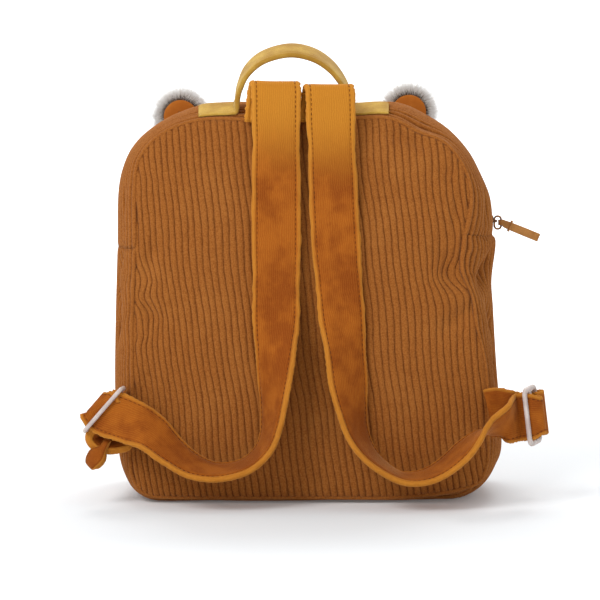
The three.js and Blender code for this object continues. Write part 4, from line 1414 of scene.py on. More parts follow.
class NodeTree:
    """A Geometry Nodes tree while its nodes are being laid down."""

    def __init__(self, name: str, numbers: Sequence[str]) -> None:
        """Starts a tree with a geometry, some numbers and a material for inputs.

        Args:
            name: The tree's name.
            numbers: The names of its number inputs.
        """
        self.tree = bpy.data.node_groups.new(name, "GeometryNodeTree")
        face = self.tree.interface
        face.new_socket("Geometry", in_out="INPUT", socket_type="NodeSocketGeometry")
        for number in numbers:
            face.new_socket(number, in_out="INPUT", socket_type="NodeSocketFloat")
        face.new_socket("Finish", in_out="INPUT", socket_type="NodeSocketMaterial")
        face.new_socket("Geometry", in_out="OUTPUT", socket_type="NodeSocketGeometry")
        self.given = self.tree.nodes.new("NodeGroupInput")

    def add(
        self,
        kind: str,
        inputs: Mapping[int | str, Any] | None = None,
        settings: Mapping[str, Any] | None = None,
    ) -> bpy.types.Node:
        """Adds one node, whose inputs take values, input names or other sockets.

        Args:
            kind: The node's type.
            inputs: Values, names of the tree's inputs, or sockets.
            settings: The node's settings.

        Returns:
            The node.
        """
        node = self.tree.nodes.new(kind)
        for key, value in (settings or {}).items():
            setattr(node, key, value)
        for key, value in (inputs or {}).items():
            if isinstance(value, str):
                self.tree.links.new(self.given.outputs[value], node.inputs[key])
            elif isinstance(value, Socket):
                self.tree.links.new(value, node.inputs[key])
            else:
                node.inputs[key].default_value = value
        return node

    def carried(self, name: str, kind: str) -> Socket:
        """A value of the given kind that the points carry."""
        node = self.add("GeometryNodeInputNamedAttribute", {}, {"data_type": kind})
        node.inputs["Name"].default_value = name
        return node.outputs[0]

    def store(
        self,
        geometry: Socket,
        name: str,
        value: Socket,
        domain: str,
    ) -> Socket:
        """Keeps a number on the points or on the instances of a geometry."""
        settings = {"data_type": "FLOAT", "domain": domain}
        inputs = {"Geometry": geometry, "Value": value}
        node = self.add("GeometryNodeStoreNamedAttribute", inputs, settings)
        node.inputs["Name"].default_value = name
        return node.outputs[0]

    def random(self, kind: str, low: Any, high: Any, seed: int) -> Socket:
        """A random value of the given kind between two others."""
        node = self.add("FunctionNodeRandomValue", {}, {"data_type": kind})
        number = kind == "FLOAT"
        for socket, value in enumerate((low, high), 2 if number else 0):
            node.inputs[socket].default_value = value
        node.inputs["Seed"].default_value = seed
        return node.outputs[1 if number else 0]

    def maths(self, operation: str, first: Any, second: Any) -> Socket:
        """Works out one sum."""
        node = self.add("ShaderNodeMath", {0: first, 1: second}, {"operation": operation})
        return node.outputs[0]

    def turned(
        self,
        vector: Socket,
        axis: str,
        pivot: str = "AUTO",
        start: Socket | None = None,
    ) -> Socket:
        """A rotation that points an axis along a vector.

        Args:
            vector: The direction.
            axis: The axis that is pointed along it.
            pivot: The axis that it is turned about.
            start: The rotation that it starts from.

        Returns:
            The rotation.
        """
        inputs = {"Vector": vector}
        if start is not None:
            inputs["Rotation"] = start
        settings = {"axis": axis, "pivot_axis": pivot}
        return self.add("FunctionNodeAlignRotationToVector", inputs, settings).outputs[0]

    def end(
        self,
        instances: Socket,
        with_base: bool = False,
    ) -> bpy.types.GeometryNodeTree:
        """Makes the instances real, smooths and paints them, and links them to the output.

        Args:
            instances: The instances.
            with_base: Whether the mesh that the tree starts from is kept too.

        Returns:
            The finished tree.
        """
        shown = self.add("GeometryNodeRealizeInstances", {0: instances})
        if with_base:
            shown = self.add("GeometryNodeJoinGeometry", {0: shown.outputs[0]})
            self.tree.links.new(self.given.outputs["Geometry"], shown.inputs[0])
        shown = self.add("GeometryNodeSetShadeSmooth", {0: shown.outputs[0]})
        shown = self.add("GeometryNodeSetMaterial", {0: shown.outputs[0], "Material": "Finish"})
        result = self.tree.nodes.new("NodeGroupOutput")
        self.tree.links.new(shown.outputs[0], result.inputs["Geometry"])
        return self.tree


@dataclass
class BeadRow:
    """A small bead at every pitch of a line, such as a stitch or a zip tooth."""

    pitch: float = 0.0031
    length: float = 0.0022
    width: float = 0.00046
    thick: float = 0.00046

    def tree(self) -> bpy.types.GeometryNodeTree:
        """Builds the node tree, or finds it if it is there already.

        Returns:
            The tree.
        """
        ready = bpy.data.node_groups.get("bead_row")
        if ready:
            return ready
        made = NodeTree("bead_row", ["Pitch", "Length", "Width", "Thickness"])
        curve = made.add("GeometryNodeMeshToCurve", {"Mesh": "Geometry"})
        spaced = made.add(
            "GeometryNodeResampleCurve",
            {"Curve": curve.outputs[0], "Length": "Pitch"},
            {"mode": "LENGTH"},
        )
        along = made.turned(made.add("GeometryNodeInputTangent").outputs[0], "X")
        rolled = made.turned(made.carried("facing", "FLOAT_VECTOR"), "Z", "X", along)
        bead = made.add("GeometryNodeMeshUVSphere", {"Segments": 6, "Rings": 5, "Radius": 0.5})
        size = made.add("ShaderNodeCombineXYZ", {"X": "Length", "Y": "Width", "Z": "Thickness"})
        placed = made.add("GeometryNodeInstanceOnPoints", {
            "Points": spaced.outputs[0],
            "Instance": bead.outputs[0],
            "Rotation": rolled,
            "Scale": size.outputs[0],
        })
        return made.end(placed.outputs[0])

    def build(
        self,
        name: str,
        seams: Sequence[Seam],
        finish: Material,
    ) -> Piece:
        """Lays beads along seams.

        Args:
            name: The piece's name.
            seams: The lines that they follow.
            finish: The beads' finish.

        Returns:
            One mesh with every bead.
        """
        edges, start = [], 0
        for seam in seams:
            edges += [(start + i, start + i + 1) for i in range(len(seam.points) - 1)]
            start += len(seam.points)
        mesh = bpy.data.meshes.new(name + "_lines")
        mesh.from_pydata(np.concatenate([seam.points for seam in seams]).tolist(), edges, [])
        carry(mesh, "facing", np.concatenate([seam.facing for seam in seams]))
        values = {
            "Pitch": self.pitch,
            "Length": self.length,
            "Width": self.width,
            "Thickness": self.thick,
            "Finish": finish,
        }
        return grow(name, mesh, self.tree(), values)


@dataclass
class SliderFrame:
    """Where a strap slider is, from its near bar's middle, and the sizes of its members."""

    near: Array
    bar: Array
    inward: Array
    outward: Array
    rim: Triple = (0.0378, 0.02, 0.0042)
    rim_rod: Pair = (0.0041, 0.003)
    bar_rod: float = 0.0032
    bar_reach: float = 0.0178
    bar_inset: float = 0.009
    lug: Triple = (0.0026, 0.0058, 0.0034)
    lug_reach: float = 0.0168

    def parts(self) -> Solid:
        """The points and faces of the slider: a rounded rim with one bar across it."""
        facing = np.cross(self.bar, self.inward)
        path = ring_path(self.near + self.inward * self.rim[1] / 2, self.bar, self.inward, self.rim)
        parts = [sweep_parts(tube_rings(path, facing, *self.rim_rod, 16, 0.7), True)]
        middle = self.near + self.inward * self.bar_inset
        bar = middle + self.bar * np.linspace(-self.bar_reach, self.bar_reach, 12)[:, None]
        parts.append(sweep_parts(tube_rings(bar, facing, self.bar_rod, self.bar_rod, 16, 0.75)))
        axes = np.stack([self.bar, self.inward, facing])
        for end in (-1, 1):
            parts.append(soft_block(middle + self.bar * end * self.lug_reach, axes, self.lug, 0.7))
        return merge(parts)

    def thread(self, steps: Sequence[Pair], across: int, size: tuple) -> list:
        """A band's stations, from millimetres inward from the near bar, and outward."""
        return [
            (*(self.near + self.inward * inward * 0.001 + self.outward * outward * 0.001),
             *(self.bar * across), *size)
            for inward, outward in steps
        ]


def slider_frame(
    shape: BodyShape,
    side: Side,
    place: Triple,
    lean: float,
    swing: float,
) -> SliderFrame:
    """Builds a slider's frame.

    Args:
        shape: The bag's body.
        side: The side that it hangs at.
        place: Across and up in shares of the body, and how far it stands off in metres.
        lean: The bar's angle in the picture.
        swing: How far the slider is swung about its near bar.

    Returns:
        The frame.
    """
    across, up, stand = place
    bar = lean_across(lean, 0)
    sideways = unit(np.cross(np.array([0.0, side.sign, 0.0]), bar))
    forward = np.array([0.0, 1.0, 0.0])
    turn = math.radians(swing)
    return SliderFrame(
        np.array([across * shape.half_width, shape.back - stand, up * shape.height]),
        bar,
        forward * math.cos(turn) + sideways * math.sin(turn),
        sideways * math.cos(turn) - forward * math.sin(turn),
    )


@dataclass
class Strap:
    """One shoulder strap with its slider, adjuster and stitches.

    FOLD holds shares of the rise and of the fold's radius over the top seam. THREAD and RETURN
    hold millimetres inward from the near bar, and outward, for the strap and for the adjuster. WAY
    holds shares of the adjuster's way, of its turn towards the bar and of its bow.
    """

    side: Side
    root: float
    route: Sequence[tuple[float, float, float, float, float, float]]
    slider: SliderFrame
    adjuster_root: Triple
    adjuster_rows: Pair
    width: float = 0.034
    thickness: float = 0.0044
    threaded: Pair = (0.031, 0.0024)
    adjuster: Pair = (0.031, 0.002)
    rise: float = 0.0268
    fold_radius: float = 0.006
    shifts: tuple[float, ...] = (0.0, 0.2, 0.5, 0.8, 1.0)
    bend_width: float = 0.86
    bend_reach: float = 1.0
    root_width: float = 1.0
    root_clear: float = 0.0012
    adjuster_clear: float = 0.0013
    adjuster_bow: float = 0.0022
    lead: int = 0

    FOLD = ((-0.03, 0), (0.38, 0.1), (0.82, 0.13), (1.0, 1.0), (0.8, 1.93))
    THREAD = (
        (3.1, -8), (3.1, -1), (3.7, 3.5), (6.6, 7.6), (9.8, 7.8), (12.1, 4), (12.1, -0.2),
        (11.5, -3.8),
    )
    RETURN = (
        (13, -10), (18, -8.4), (23, -5.6), (25.2, -0.8), (23.6, 4.2), (19.4, 5.6), (16.1, 3.2),
        (15.7, -0.6), (15.5, -4.2),
    )
    WAY = ((0, 0.0, 0), (0.12, 0.06, 0.1), (0.35, 0.35, 0.5), (0.65, 0.8, 1))

    def band(self, shape: BodyShape) -> Band:
        """The padded strap from the top seam to its slider.

        Args:
            shape: The bag's body.

        Returns:
            The strap's band.
        """
        row = shape.row_at(0, self.root * shape.half_width, 9, 24, 0.0)
        seam = shape.gusset(np.array([row]), np.array([0.0]))[0, 0]
        root_y = seam[1] - self.thickness / 2 - self.root_clear
        first = self.route[0][0] * shape.half_width
        size = (self.width, self.thickness)
        rows = [
            (seam[0] + (first - seam[0]) * shift, root_y - forward * self.fold_radius,
             seam[2] + rise * self.rise, 1, 0, 0, *size)
            for (rise, forward), shift in zip(self.FOLD, self.shifts)
        ]
        rows += [shape.station((*row, 1.0), size) for row in self.route]
        bend = self.bend_width
        spread = (1.07, 1.06, 0.6 + bend / 2, bend, bend, bend, bend - 0.05, bend - 0.1)
        for (inward, outward), share in list(zip(self.THREAD, spread))[self.lead:]:
            step = (inward, outward * (self.bend_reach if outward > 0 else 1.0))
            rows += self.slider.thread([step], -1, (self.threaded[0] * share, self.threaded[1] * 1.25))
        return Band(rows, 15, 0.00035, 0.14, 0.00042)

    def adjuster_band(self, shape: BodyShape) -> Band:
        """The adjuster strap from the side seam round the slider's far bar.

        Args:
            shape: The bag's body.

        Returns:
            The adjuster's band.
        """
        up, bow, stand = self.adjuster_root
        height = up * shape.height
        row = shape.row_at(2, height, *self.adjuster_rows, 0.0)
        seam = shape.gusset(np.array([row]), np.array([0.0]))[0, 0]
        start = np.array([seam[0], seam[1] - self.adjuster_clear - stand, height])
        thread = self.slider.thread(self.RETURN, 1, self.adjuster)
        target = np.array(thread[0][:3])
        rows = []
        for share, turned, bowed in self.WAY:
            place = start + (target - start) * share
            place[1] -= bow * bowed
            place[2] = start[2] + (target[2] - start[2]) * float(smooth(share, 0.0, 1.0))
            place[2] += self.adjuster_bow * math.sin(math.pi * share)
            across = unit(UP + (self.slider.bar - UP) * turned)
            width = self.adjuster[0] * (self.root_width + (1 - self.root_width) * share)
            rows.append((*place, *across, width, self.adjuster[1]))
        return Band(rows + thread, 11, 0.0003, 0.12, 0.00035, 0.3)

    def build(self, shape: BodyShape, looks: Looks) -> None:
        """Builds the strap, its adjuster, its slider and their stitches.

        Args:
            shape: The bag's body.
            looks: Its finishes.
        """
        name = self.side.value
        strap, adjuster = self.band(shape), self.adjuster_band(shape)
        piece = strap.build(f"velvet_strap_{name}", full_section(VELVET_SECTION))
        dress(piece, looks.velvet, [f"shoulder_strap_{name}"])
        flat = full_section(WEB_SECTION)
        piece = adjuster.build(f"velvet_adjuster_{name}", flat)
        dress(piece, looks.velvet, [f"adjuster_strap_{name}"])
        seams = [
            strap.seam(share, face, (0.05, 0.9)) for share in (-0.785, 0.785) for face in (-1, 1)
        ]
        beads = BeadRow(0.0034, 0.0024, 0.00055, 0.0005)
        row = beads.build(f"strap_stitches_{name}", seams, looks.dark_thread)
        dress(row, looks.dark_thread)
        piece = make_object(f"moulded_slider_{name}", *self.slider.parts())
        dress(piece, looks.plastic, [f"slider_{name}"])


@dataclass
class CarryHandle:
    """The narrow handle on the top gusset, with its arch in shares of the span and the rise."""

    width: float = 0.024
    thickness: float = 0.0034
    rise: float = 0.0395
    span: float = 0.081
    offset: float = -0.0104
    foot: float = 0.026
    tilt: float = 17.0
    lift: float = 0.0028

    ARCH = (
        (0.0, 0.02), (0.03, 0.33), (0.1, 0.64), (0.24, 0.88), (0.46, 1.0), (0.66, 0.93),
        (0.82, 0.72), (0.93, 0.42), (1.0, 0.06),
    )

    def band(self, shape: BodyShape) -> Band:
        """The handle's band from foot to foot.

        Args:
            shape: The bag's body.

        Returns:
            The handle's band.
        """
        tilt = math.radians(self.tilt)
        across = np.array([0.0, -math.cos(tilt), -math.sin(tilt)])

        def on_top(x: float) -> Array:
            """A place just over the gusset."""
            place, normal = shape.point_at(shape.row_at(0, x, 9, 24, 0.17), 0.159)
            return place + normal * self.lift

        def station(place: Array, spread: float, thin: float = 1.0) -> tuple:
            """One station of the handle."""
            return (*place, *across, self.width * spread, self.thickness * thin)

        left, right = self.offset - self.span / 2, self.offset + self.span / 2
        first, last = on_top(left), on_top(right)
        feet = (1, 0.75, 0.5, 0.12)
        low = UP * 0.0012
        rows = [station(on_top(left - share * self.foot) - low, 1.0, 0.55) for share in feet]
        rows += [
            station(first + (last - first) * way + UP * rise * self.rise, 1.0)
            for way, rise in self.ARCH
        ]
        rows += [
            station(on_top(right + share * self.foot) - low, 1.0, 0.55) for share in feet[::-1]
        ]
        return Band(rows, 9, 0.00025, 0.12)

    def build(self, shape: BodyShape, looks: Looks) -> None:
        """Builds the handle and its stitches."""
        band = self.band(shape)
        piece = band.build("handle_cloth", full_section(WEB_SECTION))
        dress(piece, looks.mustard, ["carry_handle"])
        seams = [band.seam(share, face) for share in (-0.8, 0.8) for face in (-1, 1)]
        beads = BeadRow(0.0029, 0.0021, 0.00042, 0.0004)
        row = beads.build("handle_stitches", seams, looks.gold_thread)
        dress(row, looks.gold_thread)


@dataclass
class ZipClosure:
    """The arched zip with its slider, loop, pull and keeper."""

    row: float = 24.35
    way: float = 0.68
    wire: float = 0.0014
    clear: float = 0.0023
    drop: float = 24.0
    hang: float = 0.0012
    loop_length: float = 0.0106
    loop_width: float = 0.0062
    loop_corner: float = 0.0022
    pull_length: float = 0.03
    pull_width: float = 0.006
    layer: float = 0.0011
    gap: float = 0.0003
    body_size: Triple = (0.009, 0.0066, 0.0026)
    nose_size: Triple = (0.004, 0.007, 0.0024)
    nose_shift: float = 0.0022
    tooth_shift: float = 0.0105
    bridge_rod: Pair = (0.001, 0.0016)
    bridge_foot: float = 0.0014
    keeper_place: float = 0.24
    keeper_height: float = 0.0045
    keeper_rod: float = 0.001
    tape_sunk: float = 0.0006
    tape_back: float = 0.0017

    def frame(self, shape: BodyShape) -> tuple[Array, Array, Array, Array]:
        """The slider's place on the zip, and the ways out, along and across it."""
        place, normal = shape.point_at(self.row, self.way)
        ahead, _ = shape.point_at(self.row + 0.4, self.way)
        along = unit(ahead - place)
        return place, normal, along, unit(np.cross(normal, along))

    def tape(self, shape: BodyShape) -> Piece:
        """The woven tape under the teeth."""
        rows = np.linspace(shape.left_seam_row + 0.008, shape.right_seam_row - 0.008, 170)
        ways = np.linspace(shape.zip_start - 0.006, shape.zip_end + 0.006, 9)
        base = shape.folded_gusset(rows, ways)
        normals = grid_normals(base)
        outer, inner = base - normals * self.tape_sunk, base - normals * self.tape_back
        wale = np.zeros(outer.shape[:2])
        wale[:, 3:6] = 1
        return make_shell("zip_tape", outer, inner, grid_faces(len(rows), len(ways)), wale)

    def teeth(self, shape: BodyShape, looks: Looks) -> Piece:
        """The coil's teeth in two rows.

        Args:
            shape: The bag's body.
            looks: Its finishes.

        Returns:
            The teeth's piece.
        """
        rows = np.linspace(shape.left_seam_row + 0.12, shape.right_seam_row - 0.12, 300)
        ways = self.way + np.array([-self.tooth_shift, 0.0, self.tooth_shift])
        points = shape.folded_gusset(rows, ways)
        normals = grid_normals(points)
        seams = [
            Seam(points[:, column] + normals[:, column] * 0.0001, normals[:, column])
            for column in (0, 2)
        ]
        return BeadRow(0.0016, 0.00105, 0.0026, 0.0013).build("zip_teeth", seams, looks.zip_teeth)

    def build(self, shape: BodyShape, looks: Looks) -> None:
        """Builds every part of the zip.

        Args:
            shape: The bag's body.
            looks: Its finishes.
        """
        dress(self.tape(shape), looks.tape, ["zip"])
        dress(self.teeth(shape, looks), looks.zip_teeth)
        place, out, down, facing = self.frame(shape)
        axes = np.stack([down, facing, out])
        rest = self.gap + self.body_size[2] / 2
        eye = place + out * (self.gap + self.body_size[2] + self.clear / 2)
        radius = (self.clear + self.bridge_rod[0]) / 2
        bridge = [
            eye + (facing * math.cos(angle) + out * math.sin(angle)) * radius
            for angle in np.linspace(0, np.pi, 13)
        ]
        foot = out * self.bridge_foot
        low = np.array([bridge[0] - foot, *bridge, bridge[-1] - foot])
        nose = place + out * (rest + 0.0003) - down * self.nose_shift
        parts = [
            soft_block(place + out * rest, axes, self.body_size, 0.4),
            soft_block(nose, axes, self.nose_size, 0.4),
            sweep_parts(tube_rings(low, down, *self.bridge_rod, 12, 0.8)),
        ]
        piece = make_object("zip_slider_body", *merge(parts))
        dress(piece, looks.bronze, ["zip_slider"])
        middle = eye + out * (self.loop_width - self.wire) / 2 + down * self.hang
        size = (self.loop_length - self.wire, self.loop_width - self.wire, self.loop_corner)
        path = ring_path(middle, down, out, size)
        piece = sweep("zip_wire_loop", tube_rings(path, facing, self.wire, self.wire, 12), True)
        dress(piece, looks.bronze, ["zip_pull_loop"])
        self.build_pull(middle, (out, down, facing), looks)

    def build_pull(self, middle: Array, ways: tuple, looks: Looks) -> None:
        """Builds the folded strip, its stitches and its keeper.

        Args:
            middle: The loop's middle.
            ways: The directions out, down and across.
            looks: The bag's finishes.
        """
        out, down, facing = ways
        turn = math.radians(self.drop)
        away = out * math.cos(turn) + down * math.sin(turn)
        wide = unit(np.cross(facing, away))
        wire = middle + out * (self.loop_width - self.wire) / 2
        wrap = self.wire / 2 + self.gap + self.layer / 2
        flat = (self.layer + 0.0004) / 2
        waist = self.loop_length - self.wire - 2 * self.loop_corner - 0.0009

        def station(direction: Array, across: Array, sizes: Sequence[float]) -> tuple:
            """One station of the strip."""
            along, rise, width = sizes
            return (*(wire + direction * along + facing * rise), *across, width, self.layer)

        def layer(rise: float) -> list:
            """The stations of one of its two layers."""
            length, width = self.pull_length, self.pull_width
            return [
                station(away, wide, (length, rise, width)),
                station(away, wide, (length * 0.5, rise, width)),
                station(away, wide, (wrap * 2.6, rise, width * 0.9)),
            ]

        turns = [(0.9, 0.95), (-0.1, 1), (-1, 0), (-0.1, -1), (0.9, -0.95)]
        fold = [station(out, down, (along * wrap, rise * wrap, waist)) for along, rise in turns]
        band = Band([*layer(flat), *fold, *layer(-flat)[::-1]], 6, 0.0, 0.0)
        piece = band.build("zip_pull_strip", full_section(WEB_SECTION))
        dress(piece, looks.ribbon, ["zip_pull_tab"])
        first, last = (0.0, 0.16), (0.84, 1.0)
        seams = [
            band.seam(share, face, ends)
            for share in (-0.62, 0.62)
            for face, ends in ((-1, first), (1, first), (1, last), (-1, last))
        ]
        beads = BeadRow(0.0019, 0.0013, 0.0003, 0.0003)
        row = beads.build("zip_pull_stitches", seams, looks.gold_thread)
        dress(row, looks.gold_thread)
        place = wire + away * self.pull_length * self.keeper_place
        rod = self.keeper_rod
        size = (self.pull_width + 2 * self.gap + rod, self.keeper_height, rod)
        path = ring_path(place, wide, facing, size)
        piece = sweep("zip_pull_band", tube_rings(path, away, rod, rod, 12, 0.8), True)
        dress(piece, looks.ribbon, ["zip_pull_keeper"])


@dataclass
class Ear:
    """A round furry ear with a smooth velvet back."""

    side: Side
    lean: float
    radius: float = 0.014
    velvet_radius: float = 0.0124
    chord: float = -0.0015
    velvet_chord: float = -0.0025
    thickness: float = 0.005
    velvet_thickness: float = 0.003
    gap: float = 0.0003
    hair_length: float = 0.0098
    hair_width: float = 0.00019
    hair_bend: float = 9.0
    hair_range: Pair = (0.62, 1.08)
    stray: Triple = (0.34, 0.3, 0.34)
    density: float = 7600000.0

    SIDES = 72
    ROUNDS = 19

    def place(self) -> Array:
        """The middle of the ear's round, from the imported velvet."""
        low, high = (np.array(corner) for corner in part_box(f"ear_velvet_{self.side.value}"))
        across = low[0] + self.velvet_radius
        if self.side is Side.RIGHT:
            across = high[0] - self.velvet_radius
        return np.array([across, high[1] + self.gap, high[2] - self.velvet_radius])

    def turned(self, points: Array) -> Array:
        """Points of the upright ear, leaned outward and put in their place."""
        angle = math.radians(self.lean)
        turned = points.copy()
        turned[..., 0] = points[..., 0] * math.cos(angle) - points[..., 2] * math.sin(angle)
        turned[..., 2] = points[..., 0] * math.sin(angle) + points[..., 2] * math.cos(angle)
        return turned + self.place()

    def pad(self, radius: float, chord: float, span: Pair, dome: float) -> Array:
        """Rings of a half-round pad from its edge to its crowned middle.

        Args:
            radius: The round's radius.
            chord: The height of its straight lower edge.
            span: Where it starts and ends from front to back.
            dome: How much its two faces are crowned.

        Returns:
            Rings from the middle of one face, over the edge, to the middle of the other.
        """
        turns = np.linspace(0, 2 * np.pi, self.SIDES, endpoint=False)
        outline = np.stack([np.cos(turns) * radius, np.sin(turns) * radius], 1)
        outline[:, 1] = np.maximum(outline[:, 1], chord)
        heart = np.array([0.0, radius * 0.35])
        rings = []
        half = (span[1] - span[0]) / 2
        for angle in np.linspace(-np.pi / 2, np.pi / 2, self.ROUNDS):
            share = max(math.cos(angle), 0.001) ** dome
            flat = heart + (outline - heart) * share
            depth = (span[0] + span[1]) / 2 + half * math.sin(angle)
            rings.append(np.stack([flat[:, 0], np.full(len(flat), depth), flat[:, 1]], 1))
        return np.array(rings)

    def fur_tree(self) -> bpy.types.GeometryNodeTree:
        """Builds the node tree that grows hairs, or finds it if it is there already.

        Returns:
            The tree.
        """
        ready = bpy.data.node_groups.get("ear_fur")
        if ready:
            return ready
        made = NodeTree("ear_fur", ["Density", "Length", "Width"])
        vector = "FLOAT_VECTOR"
        points = made.add("GeometryNodeDistributePointsOnFaces", {
            "Mesh": "Geometry",
            "Density": made.maths("MULTIPLY", "Density", made.carried("grows", "FLOAT")),
            "Seed": 7,
        })
        stray = made.random(vector, tuple(-way for way in self.stray), self.stray, 3)
        way = made.add(
            "ShaderNodeVectorMath",
            {0: made.carried("lay", vector), 1: stray},
            {"operation": "ADD"},
        )
        stand = made.turned(way.outputs[0], "Z")
        spin = made.random(vector, (-1, -1, -1), (1, 1, 1), 11)
        hair = made.add("GeometryNodeMeshCone", {
            "Vertices": 3,
            "Side Segments": 4,
            "Fill Segments": 1,
            "Radius Top": 0.12,
            "Radius Bottom": 1.0,
            "Depth": 1.0,
        })
        position = made.add("GeometryNodeInputPosition")
        parts = made.add("ShaderNodeSeparateXYZ", {0: position.outputs[0]})
        height = parts.outputs["Z"]
        bend = made.maths("MULTIPLY", made.maths("MULTIPLY", height, height), self.hair_bend)
        aside = made.add("ShaderNodeCombineXYZ", {"X": bend})
        bent = made.add("GeometryNodeSetPosition", {
            "Geometry": made.store(hair.outputs[0], "tip", height, "POINT"),
            "Offset": aside.outputs[0],
        })
        length = made.maths("MULTIPLY", made.random("FLOAT", *self.hair_range, 19), "Length")
        size = made.add("ShaderNodeCombineXYZ", {"X": "Width", "Y": "Width", "Z": length})
        placed = made.add("GeometryNodeInstanceOnPoints", {
            "Points": points.outputs[0],
            "Instance": bent.outputs[0],
            "Rotation": made.turned(spin, "X", "Z", stand),
            "Scale": size.outputs[0],
        })
        tone = made.random("FLOAT", 0.0, 1.0, 29)
        return made.end(made.store(placed.outputs[0], "tone", tone, "INSTANCE"), True)

    def build(self, looks: Looks) -> None:
        """Builds the velvet back and the fur.

        Args:
            looks: The bag's finishes.
        """
        name = self.side.value
        span = (-self.velvet_thickness - self.gap, -self.gap)
        rings = self.pad(self.velvet_radius, self.velvet_chord, span, 0.5)
        points, faces = sweep_parts(self.turned(rings))
        # The place across runs from 0 at each face's middle to 1 at the rim, where the velvet gets its
        # painted edge sheen.
        shares = np.abs(np.sin(np.linspace(-np.pi / 2, np.pi / 2, self.ROUNDS)))
        across = np.repeat(1 - shares, self.SIDES)
        piece = make_object(f"ear_back_{name}", points, faces, {"across": across})
        dress(piece, looks.ear_velvet, [f"ear_velvet_{name}"])
        rings = self.pad(self.radius, self.chord, (0.0, self.thickness), 0.45)
        upright, faces = sweep_parts(rings)
        radial = upright.copy()
        radial[:, 1] = 0
        away = np.linalg.norm(radial, axis=1) / self.radius
        low = upright[:, 2] < self.chord + 0.0004
        front = smooth(upright[:, 1], self.thickness * 0.3, self.thickness)
        lay = unit(radial) * (0.35 + away[:, None])
        lay[:, 1] += front * 1.1 + 0.12
        grows = smooth(away, 0.55, 0.9) * (0.55 + 0.45 * (1 - front)) + front * 0.4
        grows *= upright[:, 1] > 0.0006
        grows[low] = 0.0
        mesh = bpy.data.meshes.new(f"ear_pad_{name}")
        mesh.from_pydata(self.turned(upright).tolist(), [], faces)
        carry(mesh, "grows", grows)
        carry(mesh, "tip", grows * 0)
        carry(mesh, "tone", grows * 0 + 0.5)
        carry(mesh, "lay", self.turned(unit(lay)) - self.place())
        values = {
            "Density": self.density,
            "Length": self.hair_length,
            "Width": self.hair_width,
            "Finish": looks.fur,
        }
        piece = grow(f"ear_fur_long_{name}", mesh, self.fur_tree(), values)
        dress(piece, looks.fur, [f"ear_fur_{name}"])


@dataclass
class StrapTail:
    """The loose end of the left strap: a curl below the slider and a small leaf under it."""

    leaf: Sequence[tuple] = (
        (-1.015, 0.17, 0.36, -22, 20, 0.16, 0.9),
        (-1.036, 0.15, 0.35, -28, 16, 0.16, 1.1),
        (-1.066, 0.13, 0.34, -32, 28, 0.4, 1.4),
        (-1.094, 0.108, 0.32, -36, 40, 0.36, 1.3),
        (-1.104, 0.095, 0.3, -40, 46, 0.14, 0.7),
    )
    curl: Sequence[tuple] = (
        (-0.91, 0.187, 0.12, 100, 62, 0.4, 1.2),
        (-0.98, 0.191, 0.13, 104, 60, 0.44, 1.5),
        (-1.03, 0.19, 0.13, 120, 58, 0.44, 1.6),
        (-1.07, 0.185, 0.13, 150, 56, 0.44, 1.6),
        (-1.086, 0.172, 0.12, 180, 54, 0.44, 1.6),
        (-1.07, 0.16, 0.12, 220, 54, 0.46, 1.6),
        (-1.03, 0.154, 0.12, 250, 54, 0.48, 1.6),
        (-0.98, 0.154, 0.12, 262, 56, 0.48, 1.5),
        (-0.93, 0.157, 0.12, 268, 60, 0.46, 1.4),
        (-0.9, 0.16, 0.12, 270, 64, 0.4, 1.1),
    )
    strap_width: float = 0.034
    strap_thickness: float = 0.0044

    def band(self, shape: BodyShape, rows: Sequence[tuple]) -> Band:
        """One band through rows given in shares of the body and of the strap."""
        size = (self.strap_width, self.strap_thickness)
        return Band([shape.station(row, size) for row in rows], 9, 0.0, 0.1, 0.0003, 0.3)

    def build(self, shape: BodyShape, looks: Looks) -> None:
        """Builds the strap end."""
        section = full_section(VELVET_SECTION)
        leaf = self.band(shape, self.leaf).build("velvet_tail_left", section)
        dress(leaf, looks.velvet, ["strap_tail_left"])
        curl = self.band(shape, self.curl).build("velvet_curl_left", section)
        dress(curl, looks.velvet)


class Looks:
    """Every finish of the bag."""

    def __init__(self) -> None:
        """Builds every finish."""
        self.corduroy = Corduroy(
            "corduroy", (151, 88, 34), (102, 50, 16), (178, 115, 54)
        ).material()
        # The velvet's fourth colour is its painted edge sheen and its fifth its painted top highlight.
        self.velvet = Velvet(
            "golden_velvet", (130, 60, 13), (160, 86, 23), (200, 134, 48), (192, 126, 38)
        ).material()
        # The ear's velvet back lightens towards its rim: painted sheen.
        self.ear_velvet = Velvet(
            "ear_velvet", (148, 76, 22), (172, 98, 34), (190, 118, 48), (172, 98, 34), 0.9, ribs=0.0
        ).material()
        self.mustard = FineCord("mustard_cloth", (198, 162, 74), (160, 118, 44)).material()
        self.ribbon = FineCord("pull_ribbon", (198, 142, 82), (158, 106, 56)).material()
        self.fur = LongFur("long_fur", (92, 68, 50), (204, 196, 187), (242, 240, 237)).material()
        self.plastic = Moulded("rose_grey_plastic", (208, 196, 190), (186, 170, 163)).material()
        self.bronze = AgedMetal("aged_bronze", (176, 124, 78), (88, 54, 30)).material()
        self.tape = Corduroy("zip_tape", (150, 92, 44), (110, 62, 26), (162, 104, 54)).material()
        self.zip_teeth = Moulded("zip_coil", (140, 84, 38), (104, 58, 24)).material()
        # The dark thread's colour is partly its own and partly painted shade of the stitch line sunk
        # in the pile.
        self.dark_thread = Thread("dark_thread", (116, 54, 12), (84, 38, 8)).material()
        self.gold_thread = Thread("gold_thread", (196, 150, 70), (150, 104, 40)).material()


def light_turn(way: Array) -> Triple:
    """The turn that points a light along a direction."""
    level = math.hypot(way[0], way[1])
    return math.atan2(level, -way[2]), 0.0, math.atan2(way[1], way[0]) - math.pi / 2


